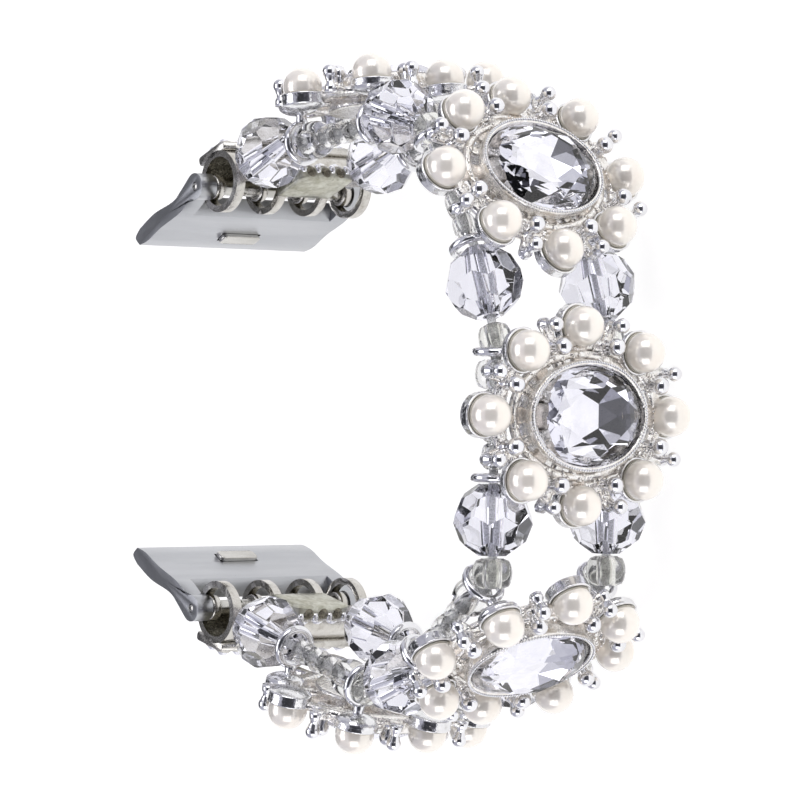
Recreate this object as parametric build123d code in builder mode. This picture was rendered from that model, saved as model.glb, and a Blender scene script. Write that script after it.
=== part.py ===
from build123d import *
from math import atan2, cos, degrees, pi, radians, sin, sqrt
import os

# Bead watch band, in its worn shape: five pearl flowers on two elastic cords,
# faceted crystals between them, and a connector with a lug adapter at each end.
# The band lies on its side: +Z runs across it, the loop lies in the XY plane.

# General fits and helpers
OVERRUN = 1.0 * MM
SEAT_GAP = 0.03 * MM
RUNNING_GAP = 0.05 * MM
CLEARANCE = 0.15 * MM
FULL_TURN = 360
HALF_TURN = 180
QUARTER_TURN = 90

# Flower layout: x runs along the band, y across it, z away from the wrist.
# A cup ends below its pearl's middle, by a turn in degrees
PEARL_D = 4.1 * MM
PEARL_LEVEL = 5.03 * MM
PEARL_STEP = 0.35 * MM
PEARL_REACH_ALONG = 8.9 * MM
PEARL_REACH_ACROSS = 11.77 * MM
PEARL_CORNER_ALONG = 6.38 * MM
PEARL_CORNER_ACROSS = 7.56 * MM
CUP_WALL = 0.37 * MM
CUP_RIM_TURN = 20

# Oval stone and its bezel
STONE_LENGTH = 14.0 * MM
STONE_WIDTH = 10.0 * MM
STONE_SIDES = 16
GIRDLE_LEVEL = 5.2 * MM
GIRDLE_HEIGHT = 0.5 * MM
CROWN_HEIGHT = 1.7 * MM
PAVILION_DEPTH = 2.0 * MM
CROWN_TIER_SHARES = ((0.84, 0.55), (0.56, 1.0))
PAVILION_TIER_SHARES = ((0.62, 0.60), (0.12, 1.0))
BEZEL_WALL = 0.58 * MM
BEZEL_RIM = 0.25 * MM
BEZEL_LEDGE = 0.3 * MM
BEZEL_FLOOR = 0.5 * MM
FLOOR_GAP = 0.1 * MM

# Webs and pegs between the pearls
WEB_LEVEL = 3.3 * MM
WEB_HEIGHT = 0.9 * MM
NECK_WIDTH = 1.7 * MM
SPOKE_WIDTH = 1.2 * MM
HOOP_ALONG = 7.27 * MM
HOOP_ACROSS = 10.41 * MM
HOOP_WIDTH = 1.2 * MM
INNER_BALL_D = 1.8 * MM
OUTER_BALL_D = 1.56 * MM
INNER_SHAFT_D = 1.1 * MM
OUTER_SHAFT_D = 0.9 * MM
INNER_BALL_LEVEL = 5.7 * MM
OUTER_BALL_LEVEL = 5.55 * MM
END_PEG_INNER = (6.85 * MM, 3.5 * MM)
END_PEG_OUTER = (9.0 * MM, 4.35 * MM)
SIDE_PEG_INNER = (3.05 * MM, 9.45 * MM)
SIDE_PEG_OUTER = (4.3 * MM, 11.4 * MM)

# Ring eyes that carry the cords
ROW_OFFSET = 7.45 * MM
EYE_REACH = 6.2 * MM
EYE_BORE_D = 3.0 * MM
EYE_WIRE_D = 0.9 * MM
EYE_STEM_D = 1.2 * MM

# Cord and beads
CORD_D = 0.9 * MM
BEAD_BORE_D = 1.3 * MM
BACK_BEAD_D = 2.5 * MM
BACK_BEAD_LENGTH = 2.6 * MM
BACK_BEAD_COUNT = 3
END_BEAD_D = 4.0 * MM
END_BEAD_LENGTH = 2.9 * MM
SEED_D = 3.4 * MM
LARGE_SEED_D = 4.0 * MM
SEED_LENGTH = 3.0 * MM
BEAD_END_SHARE = 0.62
CRYSTAL_D = 8.0 * MM
CRYSTAL_LENGTH = 7.1 * MM
CRYSTAL_SIDES = 8
CRYSTAL_BELT_TILT = 20
CRYSTAL_CROWN_TILT = 53
CRYSTAL_BELT_SHARE = 0.895
CRYSTAL_CROWN_SHARE = 0.915

# Worn shape: how far each gap turns at its crystals and at its seeds, in degrees,
# and the play left on the cord beside the crystals
TURN_AT_CRYSTAL = {"right_end": 15.3, "right_back": 22.0, "right_front": 9.5,
                   "left_front": 0.0, "left_back": 21.0, "left_end": -1.2}
TURN_AT_SEED = {"right_back": 46.5, "right_front": 19.0, "left_front": 52.0, "left_back": 32.0}
PLAY = {"right_end": 1.6 * MM, "right_back": 0.4 * MM, "right_front": 0.8 * MM,
        "left_front": 0.1 * MM, "left_back": 0.1 * MM, "left_end": 0.6 * MM}
EXTRA_BEND = 2
GAP_SEED_D = {"right_back": SEED_D, "right_front": SEED_D,
              "left_front": LARGE_SEED_D, "left_back": SEED_D}

# Connector: slotted tube with a stone-set plate and tongue
TUBE_D = 6.7 * MM
TUBE_WALL = 0.7 * MM
TUBE_WIDTH = 18.2 * MM
TUBE_GAP = 0.35 * MM
END_RIB_WIDTH = 1.1 * MM
MID_RIB_WIDTH = 1.0 * MM
WINDOW_COUNT = 3
WINDOW_CORD_EDGE = -1.2 * MM
WINDOW_PIN_EDGE = 0.8 * MM
PIN_OFFSET = 1.6 * MM
KNUCKLE_D = 2.7 * MM
PLATE_LENGTH = 5.0 * MM
PLATE_SHIFT = 0.3 * MM
PLATE_LEVEL = 2.9 * MM
PLATE_HEIGHT = 1.0 * MM
PLATE_FILLET = 0.4 * MM
TONGUE_REACH = 7.0 * MM
TONGUE_WIDTH = 7.2 * MM
TONGUE_TOP_WIDTH = 6.2 * MM
TONGUE_LEVEL = -1.8 * MM
TONGUE_HEIGHT = 1.5 * MM
# How far from the tube's axis the tongue's root lies
TONGUE_ROOT = 2.3 * MM
KNOT_D = 1.7 * MM

# Rhinestones on the connector
STRASS_D = 1.6 * MM
STRASS_RIM = 0.3 * MM
STRASS_CROWN = 0.45 * MM
STRASS_TABLE_SHARE = 0.55
STRASS_PITCH = 1.95 * MM
STRASS_COLUMN_COUNT = 9
STRASS_ROW_COUNT = 2
TONGUE_STRASS_COUNT = 3

# Lug adapter, pin and latch
PIN_D = 1.6 * MM
PIN_END_D = 0.9 * MM
ADAPTER_WIDTH = 22.6 * MM
HORN_GAP = 0.2 * MM
HORN_R = 1.45 * MM
HORN_ROOM = 3.0 * MM
INSERT_LENGTH = 12.5 * MM
INSERT_OUTER_SHARES = ((-0.104, 0.288), (-0.216, 0.60), (-0.344, 0.824))
INSERT_END_SHARES = (-0.424, 0.888)
INSERT_INNER_SHARES = ((-0.488, 0.824), (-0.448, 0.688), (-0.344, 0.496), (-0.224, 0.216))
HORN_OUTER_TURN = 40
HORN_INNER_TURN = 155
LATCH_WIDTH = 5.0 * MM
LATCH_LENGTH = 1.5 * MM
LATCH_HEIGHT = 1.0 * MM
LATCH_PROUD = 0.45 * MM
LATCH_TRAVEL = 0.4 * MM
LATCH_SHARES = (-0.398, 0.592)
LATCH_LEAN = 28.4

# Sizes that follow
PEARL_R = PEARL_D / 2
CUP_R = PEARL_R + SEAT_GAP + CUP_WALL
STONE_TOP = GIRDLE_LEVEL + GIRDLE_HEIGHT + CROWN_HEIGHT
BEZEL_TOP = GIRDLE_LEVEL + GIRDLE_HEIGHT + BEZEL_RIM
BEZEL_BASE = GIRDLE_LEVEL - PAVILION_DEPTH - FLOOR_GAP - BEZEL_FLOOR
EYE_R = (EYE_BORE_D + EYE_WIRE_D) / 2
TUBE_R = TUBE_D / 2
TUBE_BORE_R = TUBE_R - TUBE_WALL
MID_HEIGHT = PEARL_REACH_ACROSS + CUP_R


def seat_distance(ball_d):
    """Distance from a ball's centre to the plane of the ring eye that it rests against."""
    reach = ball_d / 2 + EYE_WIRE_D / 2 + CLEARANCE
    return sqrt(reach * reach - EYE_R * EYE_R)


CRYSTAL_TO_EYE = seat_distance(CRYSTAL_D)
CRYSTAL_TO_TUBE = CRYSTAL_D / 2 + TUBE_GAP + TUBE_R


def seed_to_eye(gap):
    """Distance from a seed's centre to its ring eye."""
    return seat_distance(GAP_SEED_D[gap])


def crystal_to_seed(gap):
    """Distance from the crystals' centre to the seeds' centre, with the play between them."""
    return CRYSTAL_LENGTH / 2 + CLEARANCE + SEED_LENGTH / 2 + PLAY[gap]


def seed_swing():
    """How far the corner of a turning seed reaches past its ring eye's plane."""
    reaches = []
    for gap, seed_d in GAP_SEED_D.items():
        corner = sqrt((SEED_LENGTH / 2) ** 2 + (seed_d / 2 * BEAD_END_SHARE) ** 2)
        reaches.append(corner - seed_to_eye(gap))
    return max(reaches)


def corners(point):
    """The four mirror images of a point."""
    x, y = point
    return [(x, y), (-x, y), (-x, -y), (x, -y)]


# Pearl places: those on the axes sit one step lower than those at the corners
axis_pearls = [(PEARL_REACH_ALONG, 0), (-PEARL_REACH_ALONG, 0),
               (0, PEARL_REACH_ACROSS), (0, -PEARL_REACH_ACROSS)]
corner_pearls = corners((PEARL_CORNER_ALONG, PEARL_CORNER_ACROSS))
pearl_places = [(x, y, PEARL_LEVEL - PEARL_STEP) for x, y in axis_pearls]
pearl_places += [(x, y, PEARL_LEVEL + PEARL_STEP) for x, y in corner_pearls]
inner_pegs = corners(END_PEG_INNER) + corners(SIDE_PEG_INNER)
outer_pegs = corners(END_PEG_OUTER) + corners(SIDE_PEG_OUTER)
eye_places = corners((EYE_REACH, ROW_OFFSET))

# Flower casting: bezel, cups, necks, spokes, pegs and ring eyes in one piece
with BuildPart() as casting:
    # Bezel and hoop
    with BuildSketch(Plane.XY.offset(BEZEL_BASE)):
        Ellipse(STONE_WIDTH / 2 + BEZEL_WALL, STONE_LENGTH / 2 + BEZEL_WALL)
    extrude(amount=BEZEL_TOP - BEZEL_BASE)
    with BuildSketch(Plane.XY.offset(WEB_LEVEL)):
        Ellipse(HOOP_ALONG + HOOP_WIDTH / 2, HOOP_ACROSS + HOOP_WIDTH / 2)
        Ellipse(HOOP_ALONG - HOOP_WIDTH / 2, HOOP_ACROSS - HOOP_WIDTH / 2, mode=Mode.SUBTRACT)
    extrude(amount=WEB_HEIGHT)
    # Necks to the cups and spokes to the pegs
    with BuildSketch(Plane.XY.offset(WEB_LEVEL)):
        for (x, y, level) in pearl_places:
            with Locations(Location((x / 2, y / 2, 0), degrees(atan2(y, x)))):
                Rectangle(sqrt(x * x + y * y), NECK_WIDTH)
        for (x, y) in outer_pegs:
            with Locations(Location((x / 2, y / 2, 0), degrees(atan2(y, x)))):
                Rectangle(sqrt(x * x + y * y), SPOKE_WIDTH)
    extrude(amount=WEB_HEIGHT)
    # Round cups
    with Locations(*pearl_places):
        Sphere(CUP_R, arc_size2=-CUP_RIM_TURN, align=None)
    # Pegs with ball heads
    with BuildSketch(Plane.XY.offset(WEB_LEVEL)):
        with Locations(*inner_pegs):
            Circle(INNER_SHAFT_D / 2)
    extrude(amount=INNER_BALL_LEVEL - WEB_LEVEL)
    with BuildSketch(Plane.XY.offset(WEB_LEVEL)):
        with Locations(*outer_pegs):
            Circle(OUTER_SHAFT_D / 2)
    extrude(amount=OUTER_BALL_LEVEL - WEB_LEVEL)
    with Locations(*[(x, y, INNER_BALL_LEVEL) for x, y in inner_pegs]):
        Sphere(INNER_BALL_D / 2)
    with Locations(*[(x, y, OUTER_BALL_LEVEL) for x, y in outer_pegs]):
        Sphere(OUTER_BALL_D / 2)
    # Ring eyes on their stems
    with BuildSketch(Plane.XY.offset(EYE_R)):
        with Locations(*eye_places):
            Circle(EYE_STEM_D / 2)
    extrude(amount=WEB_LEVEL + WEB_HEIGHT / 2 - EYE_R)
    with Locations(*[Location((x, y, 0), (0, QUARTER_TURN, 0)) for x, y in eye_places]):
        Torus(EYE_R, EYE_WIRE_D / 2)
    # Seats for the stone and the pearls
    with BuildSketch(Plane.XY.offset(GIRDLE_LEVEL)):
        Ellipse(STONE_WIDTH / 2 + SEAT_GAP, STONE_LENGTH / 2 + SEAT_GAP)
    extrude(amount=BEZEL_TOP - GIRDLE_LEVEL + OVERRUN, mode=Mode.SUBTRACT)
    with BuildSketch(Plane.XY.offset(BEZEL_BASE + BEZEL_FLOOR)):
        Ellipse(STONE_WIDTH / 2 - BEZEL_LEDGE, STONE_LENGTH / 2 - BEZEL_LEDGE)
    extrude(amount=GIRDLE_LEVEL - BEZEL_BASE, mode=Mode.SUBTRACT)
    with Locations(*pearl_places):
        Sphere(PEARL_R + SEAT_GAP, mode=Mode.SUBTRACT)


def stone_outline(share):
    """Corner points of the stone's outline, drawn in to a share of its size."""
    points = []
    for i in range(STONE_SIDES):
        turn = radians((i + 0.5) * FULL_TURN / STONE_SIDES)
        points.append((share * STONE_WIDTH / 2 * cos(turn), share * STONE_LENGTH / 2 * sin(turn)))
    return points


# Levels and shares of the stone's tiers, from the girdle up and from the girdle down
girdle_top = GIRDLE_LEVEL + GIRDLE_HEIGHT
pavilion_share = 1 - (BEZEL_LEDGE + FLOOR_GAP) / (STONE_WIDTH / 2)
crown_tiers = [(girdle_top, 1)]
crown_tiers += [(girdle_top + CROWN_HEIGHT * rise, share) for share, rise in CROWN_TIER_SHARES]
pavilion_tiers = [(GIRDLE_LEVEL, pavilion_share)]
pavilion_tiers += [(GIRDLE_LEVEL - PAVILION_DEPTH * drop, share) for share, drop in PAVILION_TIER_SHARES]

# Oval faceted stone
with BuildPart() as stone:
    with BuildSketch(Plane.XY.offset(GIRDLE_LEVEL)):
        Polygon(*stone_outline(1), align=None)
    extrude(amount=GIRDLE_HEIGHT)
    for tiers in (crown_tiers, pavilion_tiers):
        for (level, share), (next_level, next_share) in zip(tiers, tiers[1:]):
            with BuildSketch(Plane.XY.offset(level)):
                Polygon(*stone_outline(share), align=None)
            with BuildSketch(Plane.XY.offset(next_level)):
                Polygon(*stone_outline(next_share), align=None)
            loft(ruled=True)

# Eight pearls in their cups
with BuildPart() as pearls:
    with Locations(*pearl_places):
        Sphere(PEARL_R)


# Round glass beads with their bore along x
bead_sizes = {"back": (BACK_BEAD_D, BACK_BEAD_LENGTH), "end": (END_BEAD_D, END_BEAD_LENGTH),
              "seed": (SEED_D, SEED_LENGTH), "large_seed": (LARGE_SEED_D, SEED_LENGTH)}
beads = {}
for kind, (bead_d, bead_length) in bead_sizes.items():
    end_r = bead_d / 2 * BEAD_END_SHARE
    with BuildPart() as bead:
        with BuildSketch():
            with BuildLine():
                Polyline((-bead_length / 2, end_r), (-bead_length / 2, BEAD_BORE_D / 2),
                         (bead_length / 2, BEAD_BORE_D / 2), (bead_length / 2, end_r))
                ThreePointArc((-bead_length / 2, end_r), (0, bead_d / 2), (bead_length / 2, end_r))
            make_face()
        revolve(axis=Axis.X)
    beads[kind] = bead.part

# Beads between the ring eyes of a flower: one end bead, then the smaller ones, evenly spaced.
# They stay clear of the seed that swings in the ring eye at +x
bead_stop = EYE_REACH - seed_swing() - CLEARANCE
end_bead_x = bead_stop - END_BEAD_LENGTH / 2
bead_room = 2 * bead_stop - END_BEAD_LENGTH
bead_pitch = bead_room / BACK_BEAD_COUNT
back_bead_x = [-bead_stop + bead_pitch * (i + 1 / 2) for i in range(BACK_BEAD_COUNT)]

with BuildPart() as back_beads:
    for side in (-ROW_OFFSET, ROW_OFFSET):
        with Locations((end_bead_x, side, 0)):
            add(beads["end"])
        with Locations(*[(x, side, 0) for x in back_bead_x]):
            add(beads["back"])


# Gaps at the -x and the +x end of each flower
flower_gaps = {"front_flower": ("left_front", "right_front"),
               "right_front_flower": ("right_front", "right_back"),
               "right_back_flower": ("right_back", "right_end"),
               "left_front_flower": ("left_back", "left_front"),
               "left_back_flower": ("left_end", "left_back")}


def cord_stop(gap):
    """How far along the band a flower's cord runs towards the crystals of a gap."""
    turn = radians(abs(TURN_AT_CRYSTAL[gap]) + EXTRA_BEND)
    free = (CRYSTAL_LENGTH / 2 + SEAT_GAP + CORD_D / 2 * sin(turn)) / cos(turn)
    play = PLAY[gap] if gap.endswith("end") else 0
    return EYE_REACH + CRYSTAL_TO_EYE + play - free


# Straight runs of the two cords, from start to stop along the band
cord_runs = {flower: (-cord_stop(before), bead_stop) for flower, (before, after) in flower_gaps.items()}
cord_runs["right_back_flower"] = (-cord_stop("right_back"), cord_stop("right_end"))
tube_stop = CRYSTAL_TO_TUBE - TUBE_R - SEAT_GAP
cord_runs["right_end"] = (-CRYSTAL_LENGTH / 2, tube_stop)
cord_runs["left_end"] = (-tube_stop, CRYSTAL_LENGTH / 2)
for gap in TURN_AT_SEED:
    cord_runs[gap] = (-crystal_to_seed(gap) - SEED_LENGTH / 2, CRYSTAL_LENGTH / 2)
cords = {}
for kind, (start, stop) in cord_runs.items():
    with BuildPart() as cord_pair:
        with BuildSketch(Plane.YZ.offset(start)):
            with Locations((-ROW_OFFSET, 0), (ROW_OFFSET, 0)):
                Circle(CORD_D / 2)
        extrude(amount=stop - start)
    cords[kind] = cord_pair.part

# Faceted crystal with its bore along x: four staggered rows of flat facets between flat ends
with BuildPart() as crystal:
    with BuildSketch(Plane.YZ.offset(-CRYSTAL_LENGTH / 2)):
        Circle(CRYSTAL_D)
    extrude(amount=CRYSTAL_LENGTH)
    facet_step = FULL_TURN / CRYSTAL_SIDES
    facet_rows = [(CRYSTAL_BELT_TILT, 0, CRYSTAL_BELT_SHARE),
                  (-CRYSTAL_BELT_TILT, facet_step / 2, CRYSTAL_BELT_SHARE),
                  (CRYSTAL_CROWN_TILT, facet_step / 2, CRYSTAL_CROWN_SHARE),
                  (-CRYSTAL_CROWN_TILT, 0, CRYSTAL_CROWN_SHARE)]
    for tilt, first, facet_share in facet_rows:
        for i in range(CRYSTAL_SIDES):
            turn = radians(first + i * facet_step)
            lean = radians(tilt)
            normal = Vector(sin(lean), cos(lean) * cos(turn), cos(lean) * sin(turn))
            split(bisect_by=Plane(normal * (CRYSTAL_D / 2 * facet_share), z_dir=normal),
                  keep=Keep.BOTTOM)
    with BuildSketch(Plane.YZ.offset(-CRYSTAL_LENGTH / 2 - OVERRUN)):
        Circle(BEAD_BORE_D / 2)
    extrude(amount=CRYSTAL_LENGTH + 2 * OVERRUN, mode=Mode.SUBTRACT)

# Connector tube: the crystals lie towards -x, the pin towards +x
window_width = (TUBE_WIDTH - 2 * END_RIB_WIDTH - (WINDOW_COUNT - 1) * MID_RIB_WIDTH) / WINDOW_COUNT
window_pitch = window_width + MID_RIB_WIDTH
plate_middle = (PLATE_SHIFT, PLATE_LEVEL + PLATE_HEIGHT / 2)

rib_step = (TUBE_WIDTH - END_RIB_WIDTH) / 2
mid_rib_step = window_pitch / 2
rib_places = [(-rib_step, END_RIB_WIDTH), (rib_step, END_RIB_WIDTH),
              (-mid_rib_step, MID_RIB_WIDTH), (mid_rib_step, MID_RIB_WIDTH)]
tongue_row_x = -TONGUE_REACH + STRASS_D / 2 + CLEARANCE
knot_x = -TUBE_BORE_R + KNOT_D / 2 + CLEARANCE
horn_inner = TUBE_WIDTH / 2 + HORN_GAP
latch_turn = radians(HALF_TURN + LATCH_LEAN)
latch_normal = Vector(cos(latch_turn), sin(latch_turn), 0)
latch_plane = Plane(Vector(LATCH_SHARES[0] * INSERT_LENGTH, LATCH_SHARES[1] * INSERT_LENGTH, 0),
                    x_dir=(0, 0, 1), z_dir=latch_normal)
pocket_depth = LATCH_HEIGHT - LATCH_PROUD + LATCH_TRAVEL + CLEARANCE

with BuildPart() as tube:
    with BuildSketch(Plane.XZ):
        Circle(TUBE_R)
        with Locations(plate_middle):
            RectangleRounded(PLATE_LENGTH, PLATE_HEIGHT, PLATE_FILLET)
    extrude(amount=TUBE_WIDTH / 2, both=True)
    with BuildSketch(Plane.XZ):
        Circle(TUBE_BORE_R)
    extrude(amount=TUBE_WIDTH / 2 + OVERRUN, both=True, mode=Mode.SUBTRACT)
    # Windows on the wrist side, with ribs left between them; they reach up further towards the pin
    for i in range(WINDOW_COUNT):
        y = (i - (WINDOW_COUNT - 1) / 2) * window_pitch
        with BuildSketch(Plane.XZ.offset(-y)):
            Polygon((-TUBE_R, WINDOW_CORD_EDGE), (-TUBE_R, -TUBE_R - OVERRUN),
                    (TUBE_R + OVERRUN, -TUBE_R - OVERRUN), (TUBE_R + OVERRUN, WINDOW_PIN_EDGE), align=None)
        extrude(amount=window_width / 2, both=True, mode=Mode.SUBTRACT)
    # Tongue that reaches out between the crystals
    with BuildSketch(Plane.YZ.offset(-TONGUE_REACH)):
        with Locations((0, TONGUE_LEVEL)):
            Polygon((-TONGUE_WIDTH / 2, -TONGUE_HEIGHT / 2), (TONGUE_WIDTH / 2, -TONGUE_HEIGHT / 2),
                    (TONGUE_TOP_WIDTH / 2, TONGUE_HEIGHT / 2), (-TONGUE_TOP_WIDTH / 2, TONGUE_HEIGHT / 2),
                    align=None)
    extrude(amount=TONGUE_REACH - TONGUE_ROOT)
    # Knuckles round the pin, one on each rib
    for y, width in rib_places:
        with BuildSketch(Plane.XZ.offset(-y)):
            with Locations((PIN_OFFSET, 0)):
                Circle(KNUCKLE_D / 2)
        extrude(amount=width / 2, both=True)
    with BuildSketch(Plane.XZ):
        with Locations((PIN_OFFSET, 0)):
            Circle(PIN_D / 2 + RUNNING_GAP)
    extrude(amount=TUBE_WIDTH / 2 + OVERRUN, both=True, mode=Mode.SUBTRACT)
    # Holes for the cords in the front wall
    with BuildSketch(Plane.YZ.offset(-TUBE_R - OVERRUN)):
        with Locations((-ROW_OFFSET, 0), (ROW_OFFSET, 0)):
            Circle(BEAD_BORE_D / 2)
    extrude(amount=OVERRUN + 2 * TUBE_WALL, mode=Mode.SUBTRACT)

# Rhinestones on the plate and the tongue
with BuildPart() as rhinestones:
    plate_field = (PLATE_LEVEL + PLATE_HEIGHT, PLATE_SHIFT, STRASS_COLUMN_COUNT, STRASS_ROW_COUNT)
    tongue_field = (TONGUE_LEVEL + TONGUE_HEIGHT / 2, tongue_row_x, TONGUE_STRASS_COUNT, 1)
    for level, x, columns, rows in (plate_field, tongue_field):
        with BuildSketch(Plane.XY.offset(level)):
            with Locations((x, 0)):
                with GridLocations(STRASS_PITCH, STRASS_PITCH, rows, columns):
                    Circle(STRASS_D / 2)
        extrude(amount=STRASS_RIM)
        with Locations((x, 0, level + STRASS_RIM + STRASS_CROWN / 2)):
            with GridLocations(STRASS_PITCH, STRASS_PITCH, rows, columns):
                Cone(STRASS_D / 2, STRASS_D / 2 * STRASS_TABLE_SHARE, STRASS_CROWN)

# Cord ends: a short run through the front wall and a round knot behind it
with BuildPart() as cord_knots:
    with BuildSketch(Plane.YZ.offset(-TUBE_R)):
        with Locations((-ROW_OFFSET, 0), (ROW_OFFSET, 0)):
            Circle(CORD_D / 2)
    extrude(amount=knot_x + TUBE_R)
    with Locations((knot_x, -ROW_OFFSET, 0), (knot_x, ROW_OFFSET, 0)):
        Sphere(KNOT_D / 2)

# Pin with thin ends, on its own axis
with BuildPart() as pin:
    with BuildSketch():
        Circle(PIN_D / 2)
    extrude(amount=horn_inner, both=True)
    with BuildSketch():
        Circle(PIN_END_D / 2)
    extrude(amount=ADAPTER_WIDTH / 2, both=True)


def insert_point(shares):
    """A point of the adapter's outline, from the pin, as shares of the insert's length."""
    along, across = shares
    return (along * INSERT_LENGTH, across * INSERT_LENGTH)


def horn_point(turn):
    """A point on the round end of the horn, by its direction from the pin in degrees."""
    return (HORN_R * cos(radians(turn)), HORN_R * sin(radians(turn)))


# Lug adapter on the pin's axis: x away from the wrist, y towards the watch head
with BuildPart() as adapter:
    with BuildSketch():
        with BuildLine():
            outer = [horn_point(HORN_OUTER_TURN)] + [insert_point(p) for p in INSERT_OUTER_SHARES]
            inner = [insert_point(p) for p in INSERT_INNER_SHARES] + [horn_point(HORN_INNER_TURN)]
            Spline(*outer)
            ThreePointArc(outer[-1], insert_point(INSERT_END_SHARES), inner[0])
            Spline(*inner)
            horn_back = (HORN_OUTER_TURN + HORN_INNER_TURN) / 2 + HALF_TURN
            ThreePointArc(inner[-1], horn_point(horn_back), outer[0])
        make_face()
    extrude(amount=ADAPTER_WIDTH / 2, both=True)
    # Room for the tube between the horns
    with BuildSketch():
        with Locations((0, HORN_ROOM - INSERT_LENGTH / 2)):
            Rectangle(INSERT_LENGTH, INSERT_LENGTH)
    extrude(amount=horn_inner, both=True, mode=Mode.SUBTRACT)
    with BuildSketch():
        Circle(PIN_END_D / 2 + SEAT_GAP)
    extrude(amount=ADAPTER_WIDTH / 2 + OVERRUN, both=True, mode=Mode.SUBTRACT)
    # Pocket for the latch in the face towards the wrist
    with BuildSketch(latch_plane.offset(-pocket_depth)):
        Rectangle(LATCH_WIDTH + 2 * RUNNING_GAP, LATCH_LENGTH + 2 * RUNNING_GAP)
    extrude(amount=pocket_depth + OVERRUN, mode=Mode.SUBTRACT)

with BuildPart() as latch:
    with BuildSketch(latch_plane.offset(LATCH_PROUD - LATCH_HEIGHT)):
        RectangleRounded(LATCH_WIDTH, LATCH_LENGTH, LATCH_LENGTH / 4)
    extrude(amount=LATCH_HEIGHT)
    outermost = latch.faces().sort_by(Axis(latch_plane.origin, latch_plane.z_dir)).last
    fillet(outermost.edges(), LATCH_PROUD / 2)

# Places along the loop: each flower, crystal pair, seed pair and tube has a plane whose
# x runs along the band, y across it and z away from the wrist


def band_place(x, y, angle):
    """Place of a piece whose band direction is at an angle, in degrees, in the loop."""
    turn = radians(angle)
    return Plane(Vector(x, y, 0), x_dir=(cos(turn), sin(turn), 0), z_dir=(sin(turn), -cos(turn), 0)).location


def step(x, y, angle, reach):
    """Point reached from a point along the band direction."""
    turn = radians(angle)
    return x + reach * cos(turn), y + reach * sin(turn)


pieces = {}
pivots = {}


def put(part, place, label):
    """Put a copy of a part in a place under a node's name."""
    pieces[label] = part.moved(place)


def place_flower(name, x, y, angle):
    """One flower with its stone, pearls, back beads and cords."""
    place = band_place(x, y, angle)
    put(casting.part, place, name + "_casting")
    put(stone.part, place, name + "_stone")
    put(pearls.part, place, name + "_pearls")
    put(back_beads.part, place, name + "_back_beads")
    put(cords[name], place, name + "_cords")


def place_crystals(gap, x, y, angle):
    """The two crystals of a gap, each in its own node, on their cords."""
    place = band_place(x, y, angle)
    pivots[gap + "_crystals"] = (x, y, angle)
    put(cords[gap], place, gap + "_cords")
    for side, offset in (("upper", ROW_OFFSET), ("lower", -ROW_OFFSET)):
        put(crystal.part, place * Location((0, offset, 0)), gap + "_crystal_" + side)


def place_seeds(gap, x, y, angle):
    """The two seed beads of a gap."""
    place = band_place(x, y, angle)
    pivots[gap + "_seeds"] = (x, y, angle)
    seed = beads["large_seed" if GAP_SEED_D[gap] == LARGE_SEED_D else "seed"]
    pieces[gap + "_seeds"] = Compound([seed.moved(place * Location((0, offset, 0)))
                                       for offset in (-ROW_OFFSET, ROW_OFFSET)])


def place_connector(end, x, y, angle, side):
    """Tube, stones, knots, pin, adapter and latch; side is 1 at the right end, -1 at the left."""
    place = band_place(x, y, angle)
    turned = {"connector": tube.part, "rhinestones": rhinestones.part, "cord_knots": cord_knots.part}
    for label, part in turned.items():
        put(part if side > 0 else mirror(part, about=Plane.YZ), place, end + "_" + label)
    pin_x, pin_y = step(x, y, angle, side * PIN_OFFSET)
    pivots[end + "_pin"] = (pin_x, pin_y, angle)
    pin_place = Location((pin_x, pin_y, 0))
    for label, part in {"pin": pin.part, "adapter": adapter.part, "latch": latch.part}.items():
        put(part if side > 0 else mirror(part, about=Plane.YZ), pin_place, end + "_" + label)


# Along the right half of the loop from the front flower
x, y, angle = 0, PEARL_LEVEL, 0
place_flower("front_flower", x, y, angle)
for gap, flower in (("right_front", "right_front_flower"), ("right_back", "right_back_flower")):
    x, y = step(x, y, angle, EYE_REACH + seed_to_eye(gap))
    angle += TURN_AT_SEED[gap]
    place_seeds(gap, x, y, angle)
    x, y = step(x, y, angle, crystal_to_seed(gap))
    place_crystals(gap, x, y, angle)
    angle += TURN_AT_CRYSTAL[gap]
    x, y = step(x, y, angle, CRYSTAL_TO_EYE + EYE_REACH)
    place_flower(flower, x, y, angle)
x, y = step(x, y, angle, EYE_REACH + CRYSTAL_TO_EYE + PLAY["right_end"])
angle += TURN_AT_CRYSTAL["right_end"]
place_crystals("right_end", x, y, angle)
x, y = step(x, y, angle, CRYSTAL_TO_TUBE)
place_connector("right", x, y, angle, 1)

# Along the left half of the loop from the front flower
x, y, angle = 0, PEARL_LEVEL, 0
for gap, flower in (("left_front", "left_front_flower"), ("left_back", "left_back_flower")):
    x, y = step(x, y, angle, -EYE_REACH - CRYSTAL_TO_EYE)
    angle -= TURN_AT_CRYSTAL[gap]
    place_crystals(gap, x, y, angle)
    x, y = step(x, y, angle, -crystal_to_seed(gap))
    place_seeds(gap, x, y, angle)
    angle -= TURN_AT_SEED[gap]
    x, y = step(x, y, angle, -seed_to_eye(gap) - EYE_REACH)
    place_flower(flower, x, y, angle)
x, y = step(x, y, angle, -EYE_REACH - CRYSTAL_TO_EYE - PLAY["left_end"])
angle -= TURN_AT_CRYSTAL["left_end"]
place_crystals("left_end", x, y, angle)
x, y = step(x, y, angle, -CRYSTAL_TO_TUBE)
place_connector("left", x, y, angle, -1)

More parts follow.
